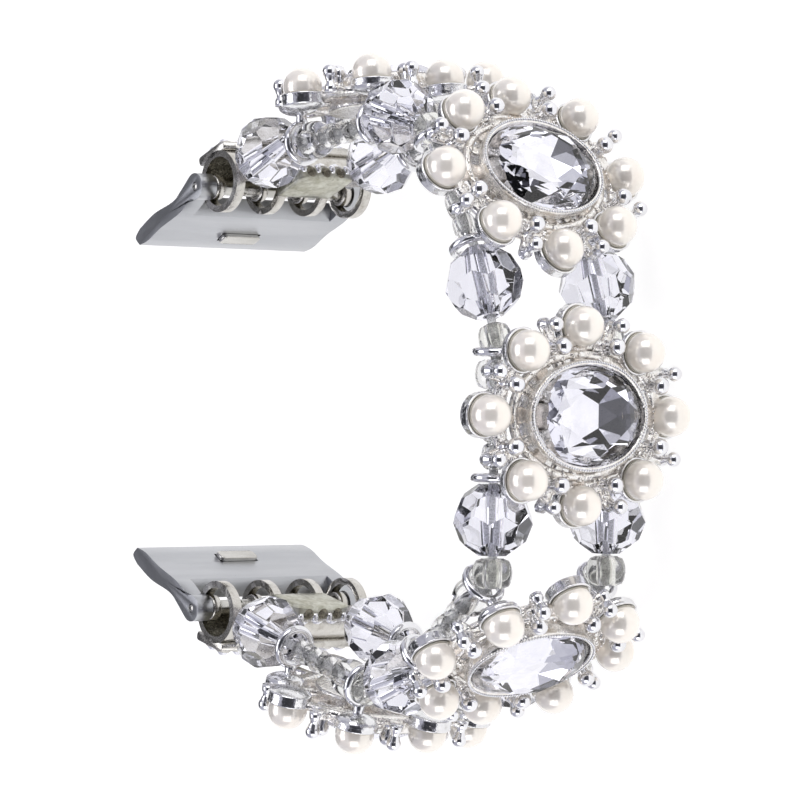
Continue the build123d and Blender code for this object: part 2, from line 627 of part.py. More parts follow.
# The origin lies at the middle of the footprint, with the lowest pearl cups on Z = 0
box = Compound(list(pieces.values())).bounding_box()
origin = Vector((box.min.X + box.max.X) / 2, (box.min.Y + box.max.Y) / 2, box.min.Z)
to_origin = Location(-origin)
os.makedirs("parts", exist_ok=True)
for label, piece in pieces.items():
    finished = piece.moved(to_origin)
    finished.label = label
    export_step(finished, "parts/" + label + ".step")
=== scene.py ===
"""Dressed model of a stretch watch band.

Pearl flowers and faceted crystals sit on two elastic cords, with a slotted tube and a hinged lug adapter
at each end.
"""
from __future__ import annotations

import logging
import math
from collections.abc import Iterable, Sequence
from dataclasses import dataclass, field
from enum import Enum

import bmesh
import bpy
from mathutils import Matrix, Vector

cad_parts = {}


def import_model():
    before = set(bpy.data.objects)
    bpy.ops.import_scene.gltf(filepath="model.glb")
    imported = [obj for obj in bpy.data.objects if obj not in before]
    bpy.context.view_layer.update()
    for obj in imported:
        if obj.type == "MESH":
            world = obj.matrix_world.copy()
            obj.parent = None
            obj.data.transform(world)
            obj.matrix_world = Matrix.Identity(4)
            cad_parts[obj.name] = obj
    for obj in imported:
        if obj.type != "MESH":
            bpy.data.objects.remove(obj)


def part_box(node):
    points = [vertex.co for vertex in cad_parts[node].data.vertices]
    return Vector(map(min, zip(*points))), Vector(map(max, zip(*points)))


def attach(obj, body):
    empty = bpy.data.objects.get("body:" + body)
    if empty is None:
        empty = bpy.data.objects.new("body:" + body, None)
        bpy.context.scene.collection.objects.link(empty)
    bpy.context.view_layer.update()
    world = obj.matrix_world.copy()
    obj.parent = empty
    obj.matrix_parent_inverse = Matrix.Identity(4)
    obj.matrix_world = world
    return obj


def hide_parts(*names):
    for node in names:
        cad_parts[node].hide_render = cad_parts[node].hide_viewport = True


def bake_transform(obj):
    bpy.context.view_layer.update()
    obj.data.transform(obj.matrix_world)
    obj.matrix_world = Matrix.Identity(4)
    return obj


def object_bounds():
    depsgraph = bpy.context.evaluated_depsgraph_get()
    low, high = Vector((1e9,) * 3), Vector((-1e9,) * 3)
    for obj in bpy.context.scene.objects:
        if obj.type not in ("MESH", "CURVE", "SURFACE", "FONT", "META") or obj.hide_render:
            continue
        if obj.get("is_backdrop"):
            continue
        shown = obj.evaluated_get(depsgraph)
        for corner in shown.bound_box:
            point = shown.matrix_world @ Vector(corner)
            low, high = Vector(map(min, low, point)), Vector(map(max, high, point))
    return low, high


LOG = logging.getLogger("watch_band")
TURN = 2 * math.pi

# A millimetre in metres. All sizes below are in millimetres, unless a comment says otherwise.
MM = 0.001

# Points round the largest ovals, the radius of a turned shape where it meets its axis, and the angle in
# degrees below which two facets count as one
FINE = 96
POLE = 0.02
ONE_FACET = 1.5

# Directions of a piece: away from the wrist, along the band and across it
UP = Vector((0, 0, 1))
ALONG = Vector((1, 0, 0))
ACROSS = Vector((0, 1, 0))

Pair = tuple[float, float]
Triple = tuple[float, float, float]
Ring = list[Vector]
Facets = tuple[list[Vector], list[tuple[int, ...]]]


class Row(Enum):
    """The two cords of the band, by the side of the band that each runs along."""

    LOWER = -1
    UPPER = 1


class End(Enum):
    """The two ends of the band, by the sign of the band direction that leads to the watch head."""

    LEFT = -1
    RIGHT = 1


# Node trees


class Bench:
    """Adds nodes to a tree and joins them with short calls."""

    def __init__(self, tree: bpy.types.NodeTree) -> None:
        """Takes the tree to build in.

        Args:
            tree: The node tree that gets the nodes.
        """
        self.tree = tree

    def add(self, kind: str, settings: dict | None = None, **sockets: object) -> bpy.types.Node:
        """Adds a node.

        Args:
            kind: The node's full type name.
            settings: Attributes of the node itself.
            sockets: Values of input sockets, or output sockets to link to them, with "_" for a space.

        Returns:
            The new node.
        """
        node = self.tree.nodes.new(kind)
        for name, value in (settings or {}).items():
            setattr(node, name, value)
        for name, value in sockets.items():
            self.feed(node, name.replace("_", " "), value)
        return node

    def feed(self, node: bpy.types.Node, name: str | int, value: object) -> None:
        """Sets an input socket of a node, or links an output socket to it.

        Args:
            node: The node that is fed.
            name: The socket's name or place in the list.
            value: A plain value, a node whose first output is taken, or an output socket.
        """
        socket = node.inputs[name]
        if isinstance(value, bpy.types.Node):
            value = next(out for out in value.outputs if out.enabled)
        if isinstance(value, bpy.types.NodeSocket):
            self.tree.links.new(value, socket)
        else:
            socket.default_value = value

    def math(self, operation: str, first: object, second: object = 0.5) -> bpy.types.Node:
        """Adds a math node.

        Args:
            operation: The operation's name.
            first: Its first value or link.
            second: Its second value or link.

        Returns:
            The new node.
        """
        node = self.add("ShaderNodeMath", {"operation": operation})
        self.feed(node, 0, first)
        self.feed(node, 1, second)
        return node

    def mix(self, share: object, first: object, second: object) -> bpy.types.NodeSocket:
        """Mixes two colours.

        Args:
            share: Share of the second one.
            first: A colour, or a socket that gives one.
            second: The same for the second one.

        Returns:
            The socket that gives the mixed colour.
        """
        node = self.add("ShaderNodeMix", {"data_type": "RGBA"})
        self.feed(node, 0, share)
        for place, value in ((6, first), (7, second)):
            self.feed(node, place, (*value, 1.0) if isinstance(value, tuple) else value)
        return node.outputs[2]

    def noise(self, place: object, scale: float, layers: Pair) -> bpy.types.NodeSocket:
        """Adds a noise.

        Args:
            place: Where it is looked up.
            scale: How many of its waves fit in a metre.
            layers: How many finer layers it has, and their strength.

        Returns:
            The socket that gives it.
        """
        detail, roughness = layers
        node = self.add("ShaderNodeTexNoise", Vector=place, Scale=scale, Detail=detail, Roughness=roughness)
        return node.outputs[0]

    def ramp(self, value: object, edges: Pair, top: float = 1.0) -> bpy.types.Node:
        """Spreads part of a value's range evenly from nought up.

        Args:
            value: The value.
            edges: Where it becomes nought and where it reaches the top.
            top: What it becomes at most.

        Returns:
            The node that gives it.
        """
        low, high = edges
        return self.add("ShaderNodeMapRange", Value=value, From_Min=low, From_Max=high, To_Max=top)


# Finishes


Colour = Triple

# Layers of the noises that make patches, grain and stains, and the noise values where patches and stains
# begin and end; on the tube's inner wall and the tongue's hollows the stains are painted shade
PATCH_LAYERS = (4.0, 0.6)
PATCH_EDGES = (0.35, 0.65)
GRAIN_LAYERS = (3.0, 0.55)
STAIN_AND_SHADE_LAYERS = (6.0, 0.7)
STAIN_AND_SHADE_EDGES = (0.62, 0.75)
STAIN_AND_SHADE_SPREAD = 0.2
COAT_ROUGHNESS = 0.05
WHITE = (1.0, 1.0, 1.0, 1.0)


@dataclass(frozen=True)
class Finish:
    """What every finish has: a name, a base colour with a second tone, a roughness band and a fine bump."""

    name: str
    tone: Colour
    second_tone: Colour
    patch_size: float
    roughness: Pair
    bump_size: float
    bump_height: float
    metallic: float = 0.0
    glassy: float = 0.0
    index: float = 1.5
    coat: float = 0.0
    sheen: float = 0.0
    glow: float = 0.0
    stretch: Triple = (1.0, 1.0, 1.0)

    def build(self) -> bpy.types.Material:
        """Makes the material, once.

        Returns:
            The material that has this finish.
        """
        made = bpy.data.materials.get(self.name)
        if made is not None:
            return made
        material = bpy.data.materials.new(self.name)
        material.use_nodes = True
        bench = Bench(material.node_tree)
        shader = material.node_tree.nodes["Principled BSDF"]
        place = bench.add("ShaderNodeTexCoord").outputs["Object"]
        mapping = bench.add("ShaderNodeMapping", Vector=place, Scale=self.stretch)
        share = bench.ramp(bench.noise(mapping, 1 / (self.patch_size * MM), PATCH_LAYERS), PATCH_EDGES)
        bench.feed(shader, "Base Color", bench.mix(share, self.tone, self.second_tone))
        low, high = self.roughness
        grain = bench.noise(mapping, 1 / (self.bump_size * MM), GRAIN_LAYERS)
        bench.feed(shader, "Roughness", bench.add("ShaderNodeMapRange", Value=grain, To_Min=low, To_Max=high))
        bump = bench.add("ShaderNodeBump", Height=grain, Strength=1.0, Distance=self.bump_height * MM)
        bench.feed(shader, "Normal", bump)
        uniform = {"Metallic": self.metallic, "Transmission Weight": self.glassy, "IOR": self.index,
                   "Coat Weight": self.coat, "Coat Roughness": COAT_ROUGHNESS, "Sheen Weight": self.sheen,
                   "Emission Color": WHITE, "Emission Strength": self.glow}
        for socket, value in uniform.items():
            shader.inputs[socket].default_value = value
        self.detail(bench, shader, place)
        return material

    def detail(self, bench: Bench, shader: bpy.types.Node, place: bpy.types.NodeSocket) -> None:
        """Adds what one finish has beyond the others; plain finishes add nothing.

        Args:
            bench: The material's tree.
            shader: Its main shader.
            place: Object coordinates.
        """


@dataclass(frozen=True)
class StainedAndShadedMetal(Finish):
    """Plated metal with dark stains and pits in its plating; on the tube's inner wall and the tongue's
    hollows its dark tones are painted shade.
    """

    stain_and_shade: Colour = (0.10, 0.08, 0.06)
    stain_and_shade_size: float = 1.2
    stain_and_shade_share: float = 0.35

    def detail(self, bench: Bench, shader: bpy.types.Node, place: bpy.types.NodeSocket) -> None:
        """Mixes the stains into the base colour; on the tube's inner wall and the tongue's hollows they are
        painted shade.

        Args:
            bench: The material's tree.
            shader: Its main shader.
            place: Object coordinates.
        """
        start, stop = STAIN_AND_SHADE_EDGES
        spots = bench.noise(place, 1 / (self.stain_and_shade_size * MM), STAIN_AND_SHADE_LAYERS)
        share = bench.ramp(spots, (start - STAIN_AND_SHADE_SPREAD * self.stain_and_shade_share, stop), self.stain_and_shade_share)
        base = shader.inputs["Base Color"].links[0].from_socket
        bench.feed(shader, "Base Color", bench.mix(share, base, self.stain_and_shade))


SILVER = StainedAndShadedMetal("silver_plate", (0.84, 0.84, 0.86), (0.77, 0.77, 0.79), 0.9, (0.04, 0.14), 0.5, 0.012,
                      metallic=1.0, stain_and_shade=(0.45, 0.38, 0.34), stain_and_shade_size=0.9, stain_and_shade_share=0.15)
CAST_SILVER = StainedAndShadedMetal("cast_silver", (0.88, 0.87, 0.86), (0.80, 0.77, 0.73), 0.8, (0.05, 0.18), 0.42,
                           0.11, metallic=1.0, stain_and_shade=(0.28, 0.24, 0.19), stain_and_shade_size=0.5, stain_and_shade_share=0.55)
CUP_SILVER = StainedAndShadedMetal("cup_silver", (0.84, 0.84, 0.85), (0.74, 0.74, 0.75), 0.9, (0.05, 0.16), 0.7, 0.07,
                          metallic=1.0, stain_and_shade=(0.30, 0.26, 0.22), stain_and_shade_size=0.7, stain_and_shade_share=0.35)
NECK_SILVER = StainedAndShadedMetal("neck_silver", (0.90, 0.86, 0.82), (0.88, 0.79, 0.70), 1.2, (0.2, 0.34), 0.35,
                           0.03, metallic=0.5, stain_and_shade=(0.55, 0.45, 0.37), stain_and_shade_size=0.7, stain_and_shade_share=0.35)
STONE_GLASS = Finish("stone_glass", (0.965, 0.965, 0.995), (0.945, 0.945, 0.985), 3.0, (0.0, 0.01), 0.5,
                     0.0005, glassy=1.0, index=1.6)
STONE_FOIL = Finish("stone_foil", (0.93, 0.93, 0.95), (0.86, 0.86, 0.90), 1.6, (0.0, 0.04), 0.5, 0.001,
                    metallic=1.0)
PEARL = Finish("pearl_lacquer", (1.0, 0.955, 0.875), (1.0, 0.93, 0.84), 1.8, (0.17, 0.24), 0.3, 0.003,
               metallic=0.34, coat=1.0, sheen=0.15)
GLUE = Finish("clear_glue", (0.86, 0.82, 0.72), (0.74, 0.70, 0.60), 0.5, (0.12, 0.3), 0.3, 0.02, glassy=0.4)
CRYSTAL = Finish("crystal_glass", (0.87, 0.87, 0.925), (0.84, 0.84, 0.91), 4.0, (0.0, 0.01), 0.6, 0.0005,
                 glassy=1.0, index=1.57)
BEAD_GLASS = Finish("bead_glass", (0.90, 0.90, 0.90), (0.84, 0.84, 0.83), 1.5, (0.02, 0.08), 0.5, 0.004,
                    glassy=1.0, index=1.5)
SEED_GLASS = Finish("seed_glass", (0.90, 0.90, 0.87), (0.83, 0.83, 0.79), 1.2, (0.04, 0.12), 0.4, 0.006,
                    glassy=0.95, index=1.5)
CORD = Finish("elastic_cord", (0.93, 0.93, 0.93), (0.86, 0.86, 0.87), 0.8, (0.2, 0.35), 0.15, 0.01,
              glassy=0.5, sheen=0.2)
NICKEL = StainedAndShadedMetal("satin_nickel", (0.66, 0.645, 0.61), (0.56, 0.54, 0.50), 1.6, (0.16, 0.34), 0.18, 0.012,
                      metallic=1.0, stain_and_shade=(0.16, 0.12, 0.08), stain_and_shade_size=1.1, stain_and_shade_share=0.55)
OLD_NICKEL = StainedAndShadedMetal("old_nickel", (0.60, 0.60, 0.53), (0.42, 0.41, 0.33), 0.9, (0.22, 0.42), 0.25, 0.06,
                          metallic=0.9, stain_and_shade=(0.14, 0.13, 0.07), stain_and_shade_size=0.8, stain_and_shade_share=0.7)
RHINESTONE = Finish("rhinestone_glass", (0.93, 0.93, 0.97), (0.70, 0.70, 0.76), 0.7, (0.02, 0.08), 0.4, 0.002,
                    metallic=0.7, coat=1.0)
STEEL = Finish("satin_steel", (0.50, 0.51, 0.53), (0.44, 0.45, 0.47), 2.5, (0.24, 0.36), 0.12, 0.006,
               metallic=1.0, stretch=(1.0, 1.0, 0.15))
# Painted shade: near-black metal whose dark tones and spots stand in for the shade inside the tube and in the
# tongue's hollows
TUBE_INSIDE = StainedAndShadedMetal("tube_inside", (0.30, 0.28, 0.22), (0.16, 0.145, 0.11), 0.7, (0.18, 0.4), 0.3,
                           0.05, metallic=0.9, stain_and_shade=(0.03, 0.026, 0.02), stain_and_shade_size=0.5, stain_and_shade_share=0.8)
PIN_STEEL = Finish("pin_steel", (0.62, 0.61, 0.58), (0.50, 0.49, 0.46), 1.4, (0.16, 0.3), 0.15, 0.006,
                   metallic=1.0, stretch=(1.0, 1.0, 0.3))
FLOOR = Finish("pale_floor", (0.42, 0.41, 0.40), (0.40, 0.39, 0.38), 60.0, (0.7, 0.8), 8.0, 0.02, glow=0.80)


# Mesh code


def circle(radius: float, count: int) -> list[Pair]:
    """Points round a circle.

    Args:
        radius: Its radius.
        count: How many points.

    Returns:
        The points, in order.
    """
    return [(radius * math.cos(TURN * i / count), radius * math.sin(TURN * i / count)) for i in range(count)]


def ellipse(along: float, across: float, level: float, count: int = FINE, first: float = 0.0) -> Ring:
    """A level ring of points.

    Args:
        along: Its half size along the band.
        across: Its half size across the band.
        level: Its height.
        count: How many points.
        first: Where the first one is, in steps between points.

    Returns:
        The ring.
    """
    turns = [TURN * (i + first) / count for i in range(count)]
    return [Vector((along * math.cos(t), across * math.sin(t), level)) for t in turns]


def rounded_box(width: float, height: float, radius: float, steps: int = 4) -> list[Pair]:
    """Outline of a rectangle with round corners.

    Args:
        width: Its size along the first axis.
        height: Its size along the second axis.
        radius: The corners' radius.
        steps: Points on each corner.

    Returns:
        The outline, in order.
    """
    points = []
    for corner, (sign_x, sign_y) in enumerate(((1, 1), (-1, 1), (-1, -1), (1, -1))):
        centre_x, centre_y = sign_x * (width / 2 - radius), sign_y * (height / 2 - radius)
        for i in range(steps):
            turn = math.pi / 2 * (corner + i / (steps - 1))
            points.append((centre_x + radius * math.cos(turn), centre_y + radius * math.sin(turn)))
    return points


def arc_profile(radius: float, start: float, stop: float, count: int, centre: float = 0.0) -> list[Pair]:
    """Part of a round profile, as radius and height.

    Args:
        radius: The sphere's radius.
        start: First angle above the equator, in degrees.
        stop: Last angle.
        count: How many points.
        centre: The sphere's height.

    Returns:
        The profile, in order.
    """
    turns = [math.radians(start + (stop - start) * i / (count - 1)) for i in range(count)]
    return [(max(radius * math.cos(t), 0.0), centre + radius * math.sin(t)) for t in turns]


def smooth_path(points: Sequence[Vector], steps: int) -> list[Vector]:
    """Rounds a run of points into a smooth path through them.

    Args:
        points: The points to pass through.
        steps: Points on each stretch.

    Returns:
        The path.
    """
    path = []
    last = len(points) - 1
    for i in range(last):
        before, start, stop, after = points[max(i - 1, 0)], points[i], points[i + 1], points[min(i + 2, last)]
        for k in range(steps):
            t = k / steps
            path.append(0.5 * ((2 * start) + (stop - before) * t
                               + (2 * before - 5 * start + 4 * stop - after) * t * t
                               + (3 * start - before - 3 * stop + after) * t ** 3))
    return path + [points[last].copy()]


class Draft:
    """Collects the closed skins of one piece, in millimetres, each in one of the piece's finishes."""

    def __init__(self) -> None:
        """Starts an empty piece."""
        self.points: list[Vector] = []
        self.faces: list[tuple[int, ...]] = []
        self.slots: list[int] = []
        self.smooth: list[bool] = []

    def skin(self, points: Iterable[Vector], faces: Iterable[Sequence[int]], slot: int = 0,
             smooth: bool = True) -> None:
        """Adds one skin.

        Args:
            points: Its points.
            faces: Its faces, as places in the points.
            slot: The finish that it has.
            smooth: Whether it is shaded smooth.
        """
        first = len(self.points)
        self.points.extend(Vector(point) for point in points)
        for face in faces:
            self.faces.append(tuple(first + i for i in face))
            self.slots.append(slot)
            self.smooth.append(smooth)

    def loft(self, rings: Sequence[Ring], slot: int = 0, wrap: bool = False, smooth: bool = True) -> None:
        """Adds a skin through rings of points, closed at its ends or wrapped round.

        Args:
            rings: The rings, each with the same count of points.
            slot: The finish that it has.
            wrap: Whether the last ring joins the first one.
            smooth: Whether it is shaded smooth.
        """
        count = len(rings[0])
        points = [point for ring in rings for point in ring]
        faces: list[tuple[int, ...]] = []
        for i in range(len(rings) if wrap else len(rings) - 1):
            low, high = i * count, (i + 1) % len(rings) * count
            for k in range(count):
                after = (k + 1) % count
                faces.append((low + k, low + after, high + after, high + k))
        if not wrap:
            for first in (0, (len(rings) - 1) * count):
                pole = len(points)
                points.append(sum((points[first + k] for k in range(count)), Vector()) / count)
                faces += [(first + k, first + (k + 1) % count, pole) for k in range(count)]
        self.skin(points, faces, slot, smooth)

    def spin(self, profile: Sequence[Pair], centre: Vector, segments: int = 24, slot: int = 0,
             axis: Vector = UP, wrap: bool = False) -> None:
        """Adds a turned shape.

        Args:
            profile: Radius and height of each ring.
            centre: Where height zero is.
            segments: Faces round it.
            slot: The finish that it has.
            axis: The direction of its height.
            wrap: Whether the last ring joins the first one, as on a bead with a bore.
        """
        turn = UP.rotation_difference(axis).to_matrix()
        rings = [[centre + turn @ Vector((x, y, height)) for x, y in circle(max(radius, 1e-4), segments)]
                 for radius, height in profile]
        self.loft(rings, slot, wrap)

    def sweep(self, path: Sequence[Vector], section: Sequence[Pair], side: Vector = UP, slot: int = 0,
              wrap: bool = False, swell: Sequence[float] | None = None) -> None:
        """Adds a bar that follows a path.

        Args:
            path: The path's points.
            section: The bar's outline.
            side: Direction that the outline's second axis leans to.
            slot: The finish that it has.
            wrap: Whether the path is closed.
            swell: Scale of the outline at each point.
        """
        rings = []
        for i, point in enumerate(path):
            ahead = path[(i + 1) % len(path)] if wrap else path[min(i + 1, len(path) - 1)]
            behind = path[i - 1] if wrap or i else path[0]
            along = (ahead - behind).normalized()
            across = side.cross(along).normalized()
            rise = along.cross(across)
            scale = swell[i] if swell else 1.0
            rings.append([point + scale * (across * x + rise * y) for x, y in section])
        self.loft(rings, slot, wrap)

    def absorb(self, mesh: bpy.types.Mesh, slot: int = 0, smooth: bool = True) -> None:
        """Adds a finished mesh, whose points are in millimetres.

        Args:
            mesh: The mesh that is added, and then removed.
            slot: The finish that it has.
            smooth: Whether it is shaded smooth.
        """
        faces = [tuple(face.vertices) for face in mesh.polygons]
        self.skin([corner.co.copy() for corner in mesh.vertices], faces, slot, smooth)
        bpy.data.meshes.remove(mesh)

    def mirrored(self) -> Draft:
        """The same piece the other way along the band.

        Returns:
            The mirrored draft.
        """
        turned = Draft()
        turned.points = [Vector((-point.x, point.y, point.z)) for point in self.points]
        turned.faces, turned.slots, turned.smooth = list(self.faces), list(self.slots), list(self.smooth)
        return turned

    def mesh(self, name: str, finishes: Sequence[Finish], matrix: Matrix | None = None,
             scale: float = MM) -> bpy.types.Mesh:
        """Makes the mesh.

        Args:
            name: The mesh's name.
            finishes: The finishes that the slots stand for.
            matrix: Place of the piece, in metres.
            scale: Size of a unit of the draft, in metres.

        Returns:
            The mesh, with every skin's faces pointing outwards.
        """
        mesh = bpy.data.meshes.new(name)
        mesh.from_pydata([tuple(point * scale) for point in self.points], [], self.faces)
        mesh.polygons.foreach_set("material_index", self.slots)
        mesh.polygons.foreach_set("use_smooth", self.smooth)
        work = bmesh.new()
        work.from_mesh(mesh)
        bmesh.ops.recalc_face_normals(work, faces=work.faces)
        work.to_mesh(mesh)
        work.free()
        if matrix is not None:
            mesh.transform(matrix)
        for finish in finishes:
            mesh.materials.append(finish.build())
        return mesh


def listed(work: bmesh.types.BMesh) -> Facets:
    """Lists what a working mesh holds, and frees it.

    Args:
        work: The working mesh.

    Returns:
        Its points and faces.
    """
    work.verts.index_update()
    points = [corner.co.copy() for corner in work.verts]
    faces = [tuple(corner.index for corner in face.verts) for face in work.faces]
    work.free()
    return points, faces


def hull(rings: Sequence[Ring]) -> Facets:
    """The tight skin of flat facets round some rings.

    Args:
        rings: The rings.

    Returns:
        Its points and faces.
    """
    work = bmesh.new()
    for ring in rings:
        for point in ring:
            work.verts.new(point)
    result = bmesh.ops.convex_hull(work, input=work.verts)
    loose = {item for item in result["geom_interior"] + result["geom_unused"]
             if isinstance(item, bmesh.types.BMVert) and item.is_valid}
    bmesh.ops.delete(work, geom=list(loose), context="VERTS")
    bmesh.ops.dissolve_limit(work, angle_limit=math.radians(ONE_FACET), verts=work.verts, edges=work.edges)
    return listed(work)


def facet(planes: Iterable[tuple[Vector, float]], reach: float) -> Facets:
    """Cuts a block with planes into a faceted solid.

    Args:
        planes: Each facet's outward direction and distance from the middle.
        reach: Half size of the block.

    Returns:
        The solid's points and faces.
    """
    work = bmesh.new()
    bmesh.ops.create_cube(work, size=2 * reach)
    for normal, distance in planes:
        cut = bmesh.ops.bisect_plane(work, geom=work.verts[:] + work.edges[:] + work.faces[:], dist=1e-5,
                                     plane_co=normal * distance, plane_no=normal, clear_outer=True)
        edges = [item for item in cut["geom_cut"] if isinstance(item, bmesh.types.BMEdge)]
        if edges:
            bmesh.ops.contextual_create(work, geom=edges)
    return listed(work)


def result_of(item: bpy.types.Object) -> bpy.types.Mesh:
    """The plain mesh that an object's modifiers give."""
    bpy.context.view_layer.update()
    return bpy.data.meshes.new_from_object(item.evaluated_get(bpy.context.evaluated_depsgraph_get()))


def bring(name: str, mesh: bpy.types.Mesh) -> bpy.types.Object:
    """Puts a mesh in the scene as an object."""
    item = bpy.data.objects.new(name, mesh)
    bpy.context.scene.collection.objects.link(item)
    return item


def discard(item: bpy.types.Object) -> None:
    """Removes an object and its mesh."""
    mesh = item.data
    bpy.data.objects.remove(item)
    bpy.data.meshes.remove(mesh)


def carve(solid: Draft, tools: Sequence[Draft], edge: float, segments: int, angle: float) -> bpy.types.Mesh:
    """Cuts tools out of a solid and breaks its edges.

    Args:
        solid: The solid, in millimetres.
        tools: What is cut out of it.
        edge: Width of the broken edges.
        segments: Faces across a broken edge.
        angle: Smallest angle of an edge that is broken, in degrees.

    Returns:
        The finished mesh, in millimetres.
    """
    body, *cutters = [bring("block", draft.mesh("block", [], scale=1.0)) for draft in (solid, *tools)]
    for tool in cutters:
        cut = body.modifiers.new("cut", "BOOLEAN")
        cut.object, cut.operation, cut.solver = tool, "DIFFERENCE", "EXACT"
    bevel = body.modifiers.new("edges", "BEVEL")
    bevel.width, bevel.segments, bevel.limit_method = edge, segments, "ANGLE"
    bevel.angle_limit = math.radians(angle)
    mesh = result_of(body)
    for item in (body, *cutters):
        discard(item)
    return mesh


def placed(mesh: bpy.types.Mesh, name: str, matrix: Matrix, finish: Finish) -> bpy.types.Mesh:
    """A flat-shaded copy of a mesh in millimetres, in its place and finish.

    Args:
        mesh: The mesh.
        name: The copy's name.
        matrix: Its place, in metres.
        finish: Its finish.

    Returns:
        The copy.
    """
    copy = mesh.copy()
    copy.name = name
    copy.transform(matrix @ Matrix.Scale(MM, 4))
    copy.materials.clear()
    copy.materials.append(finish.build())
    copy.polygons.foreach_set("use_smooth", [False] * len(copy.polygons))
    return copy


# Geometry Nodes


class NodeTool:
    """A Geometry Nodes tree that sets copies of a small piece and gives them as a plain mesh."""

    GRAIN_FACES = {"Segments": 8, "Rings": 5}
    NAME = ""
    INPUTS: tuple[tuple[str, str], ...] = ()

    def __init__(self) -> None:
        """Builds the tree, once."""
        self.tree = bpy.data.node_groups.get(self.NAME) or self.build()

    def build(self) -> bpy.types.NodeTree:
        """Builds the tree, which makes the copies real and gives them the finish.

        Returns:
            The tree.
        """
        tree = bpy.data.node_groups.new(self.NAME, "GeometryNodeTree")
        for name, kind in (*self.INPUTS, ("Finish", "Material")):
            tree.interface.new_socket(name, in_out="INPUT", socket_type=f"NodeSocket{kind}")
        tree.interface.new_socket("Copies", in_out="OUTPUT", socket_type="NodeSocketGeometry")
        bench = Bench(tree)
        given = bench.add("NodeGroupInput").outputs
        real = bench.add("GeometryNodeRealizeInstances", Geometry=self.copies(bench, given))
        painted = bench.add("GeometryNodeSetMaterial", Geometry=real, Material=given["Finish"])
        bench.add("NodeGroupOutput", Copies=painted)
        return tree

    def copies(self, bench: Bench, given: bpy.types.NodeOutputs) -> bpy.types.Node:
        """Sets the copies.

        Args:
            bench: The tree.
            given: Its inputs.

        Returns:
            The node that gives the copies.
        """
        raise NotImplementedError

    def run(self, bed: bpy.types.Mesh, finish: Finish, values: dict[str, object]) -> bpy.types.Mesh:
        """Runs the tree once.

        Args:
            bed: The mesh that it runs on, which is removed.
            finish: The finish of the copies.
            values: The tree's other inputs, by name.

        Returns:
            A plain mesh of the copies, in millimetres.
        """
        holder = bring("holder", bed)
        modifier = holder.modifiers.new("copies", "NODES")
        modifier.node_group = self.tree
        values = {**values, "Finish": finish.build()}
        for item in self.tree.interface.items_tree:
            if item.in_out == "INPUT" and item.name in values:
                modifier[item.identifier] = values[item.name]
        mesh = result_of(holder)
        holder.modifiers.remove(modifier)
        discard(holder)
        return mesh


class Scatter(NodeTool):
    """Puts a copy of one piece on every point of a mesh."""

    NAME = "copies_on_points"
    SEED = 7
    INPUTS = (("Points", "Geometry"), ("Piece", "Object"), ("Turn", "Vector"))

    def copies(self, bench: Bench, given: bpy.types.NodeOutputs) -> bpy.types.Node:
        """Sets a copy of the piece on each point, with a seeded turn.

        Args:
            bench: The tree.
            given: Its inputs: the points, the piece and its largest turn.

        Returns:
            The node that gives the copies.
        """
        piece = bench.add("GeometryNodeObjectInfo", Object=given["Piece"])
        turn = bench.add("FunctionNodeRandomValue", {"data_type": "FLOAT_VECTOR"})
        bench.feed(turn, "Max", given["Turn"])
        bench.feed(turn, "Seed", self.SEED)
        return bench.add("GeometryNodeInstanceOnPoints", Points=given["Points"],
                         Instance=piece.outputs["Geometry"], Rotation=turn.outputs[0])

    def spread(self, piece: Draft, points: Sequence[Vector], finish: Finish,
               turn: Vector = Vector()) -> bpy.types.Mesh:
        """Copies a piece to some points.

        Args:
            piece: What is copied, in millimetres.
            points: Where the copies stand.
            finish: The finish that they have.
            turn: Largest seeded turn of a copy about each axis.

        Returns:
            A plain mesh of all the copies, in millimetres.
        """
        source = bring("source", piece.mesh("source", [], scale=1.0))
        bed = bpy.data.meshes.new("bed")
        bed.from_pydata([tuple(point) for point in points], [], [])
        mesh = self.run(bed, finish, {"Piece": source, "Turn": turn})
        discard(source)
        return mesh


class Milgrain(NodeTool):
    """Sets a row of fine grains round an oval."""

    NAME = "grains_round_oval"
    INPUTS = (("Half Width", "Float"), ("Half Length", "Float"), ("Level", "Float"),
              ("Grain Radius", "Float"), ("Count", "Int"))

    def copies(self, bench: Bench, given: bpy.types.NodeOutputs) -> bpy.types.Node:
        """Sets the grains evenly round the oval.

        Args:
            bench: The tree.
            given: Its inputs: the oval's half sizes and level, the grains' radius and their count.

        Returns:
            The node that gives the grains.
        """
        line = bench.add("GeometryNodeCurvePrimitiveCircle", Radius=1.0, Resolution=given["Count"])
        size = bench.add("ShaderNodeCombineXYZ", X=given["Half Width"], Y=given["Half Length"], Z=1.0)
        lift = bench.add("ShaderNodeCombineXYZ", Z=given["Level"])
        oval = bench.add("GeometryNodeTransform", Geometry=line, Scale=size, Translation=lift)
        evenly = bench.add("GeometryNodeResampleCurve", Curve=oval, Count=given["Count"])
        grain = bench.add("GeometryNodeMeshUVSphere", **self.GRAIN_FACES, Radius=given["Grain Radius"])
        return bench.add("GeometryNodeInstanceOnPoints", Points=evenly, Instance=grain.outputs[0])

    def lay(self, half_sizes: Pair, level: float, radius: float, count: int,
            finish: Finish) -> bpy.types.Mesh:
        """Lays one row of grains.

        Args:
            half_sizes: Half sizes of the oval along and across the band.
            level: Its height.
            radius: A grain's radius.
            count: How many grains.
            finish: The finish that they have.

        Returns:
            A plain mesh of the grains, in millimetres.
        """
        along, across = half_sizes
        values = {"Half Width": along, "Half Length": across, "Level": level, "Grain Radius": radius,
                  "Count": count}
        return self.run(bpy.data.meshes.new("bed"), finish, values)


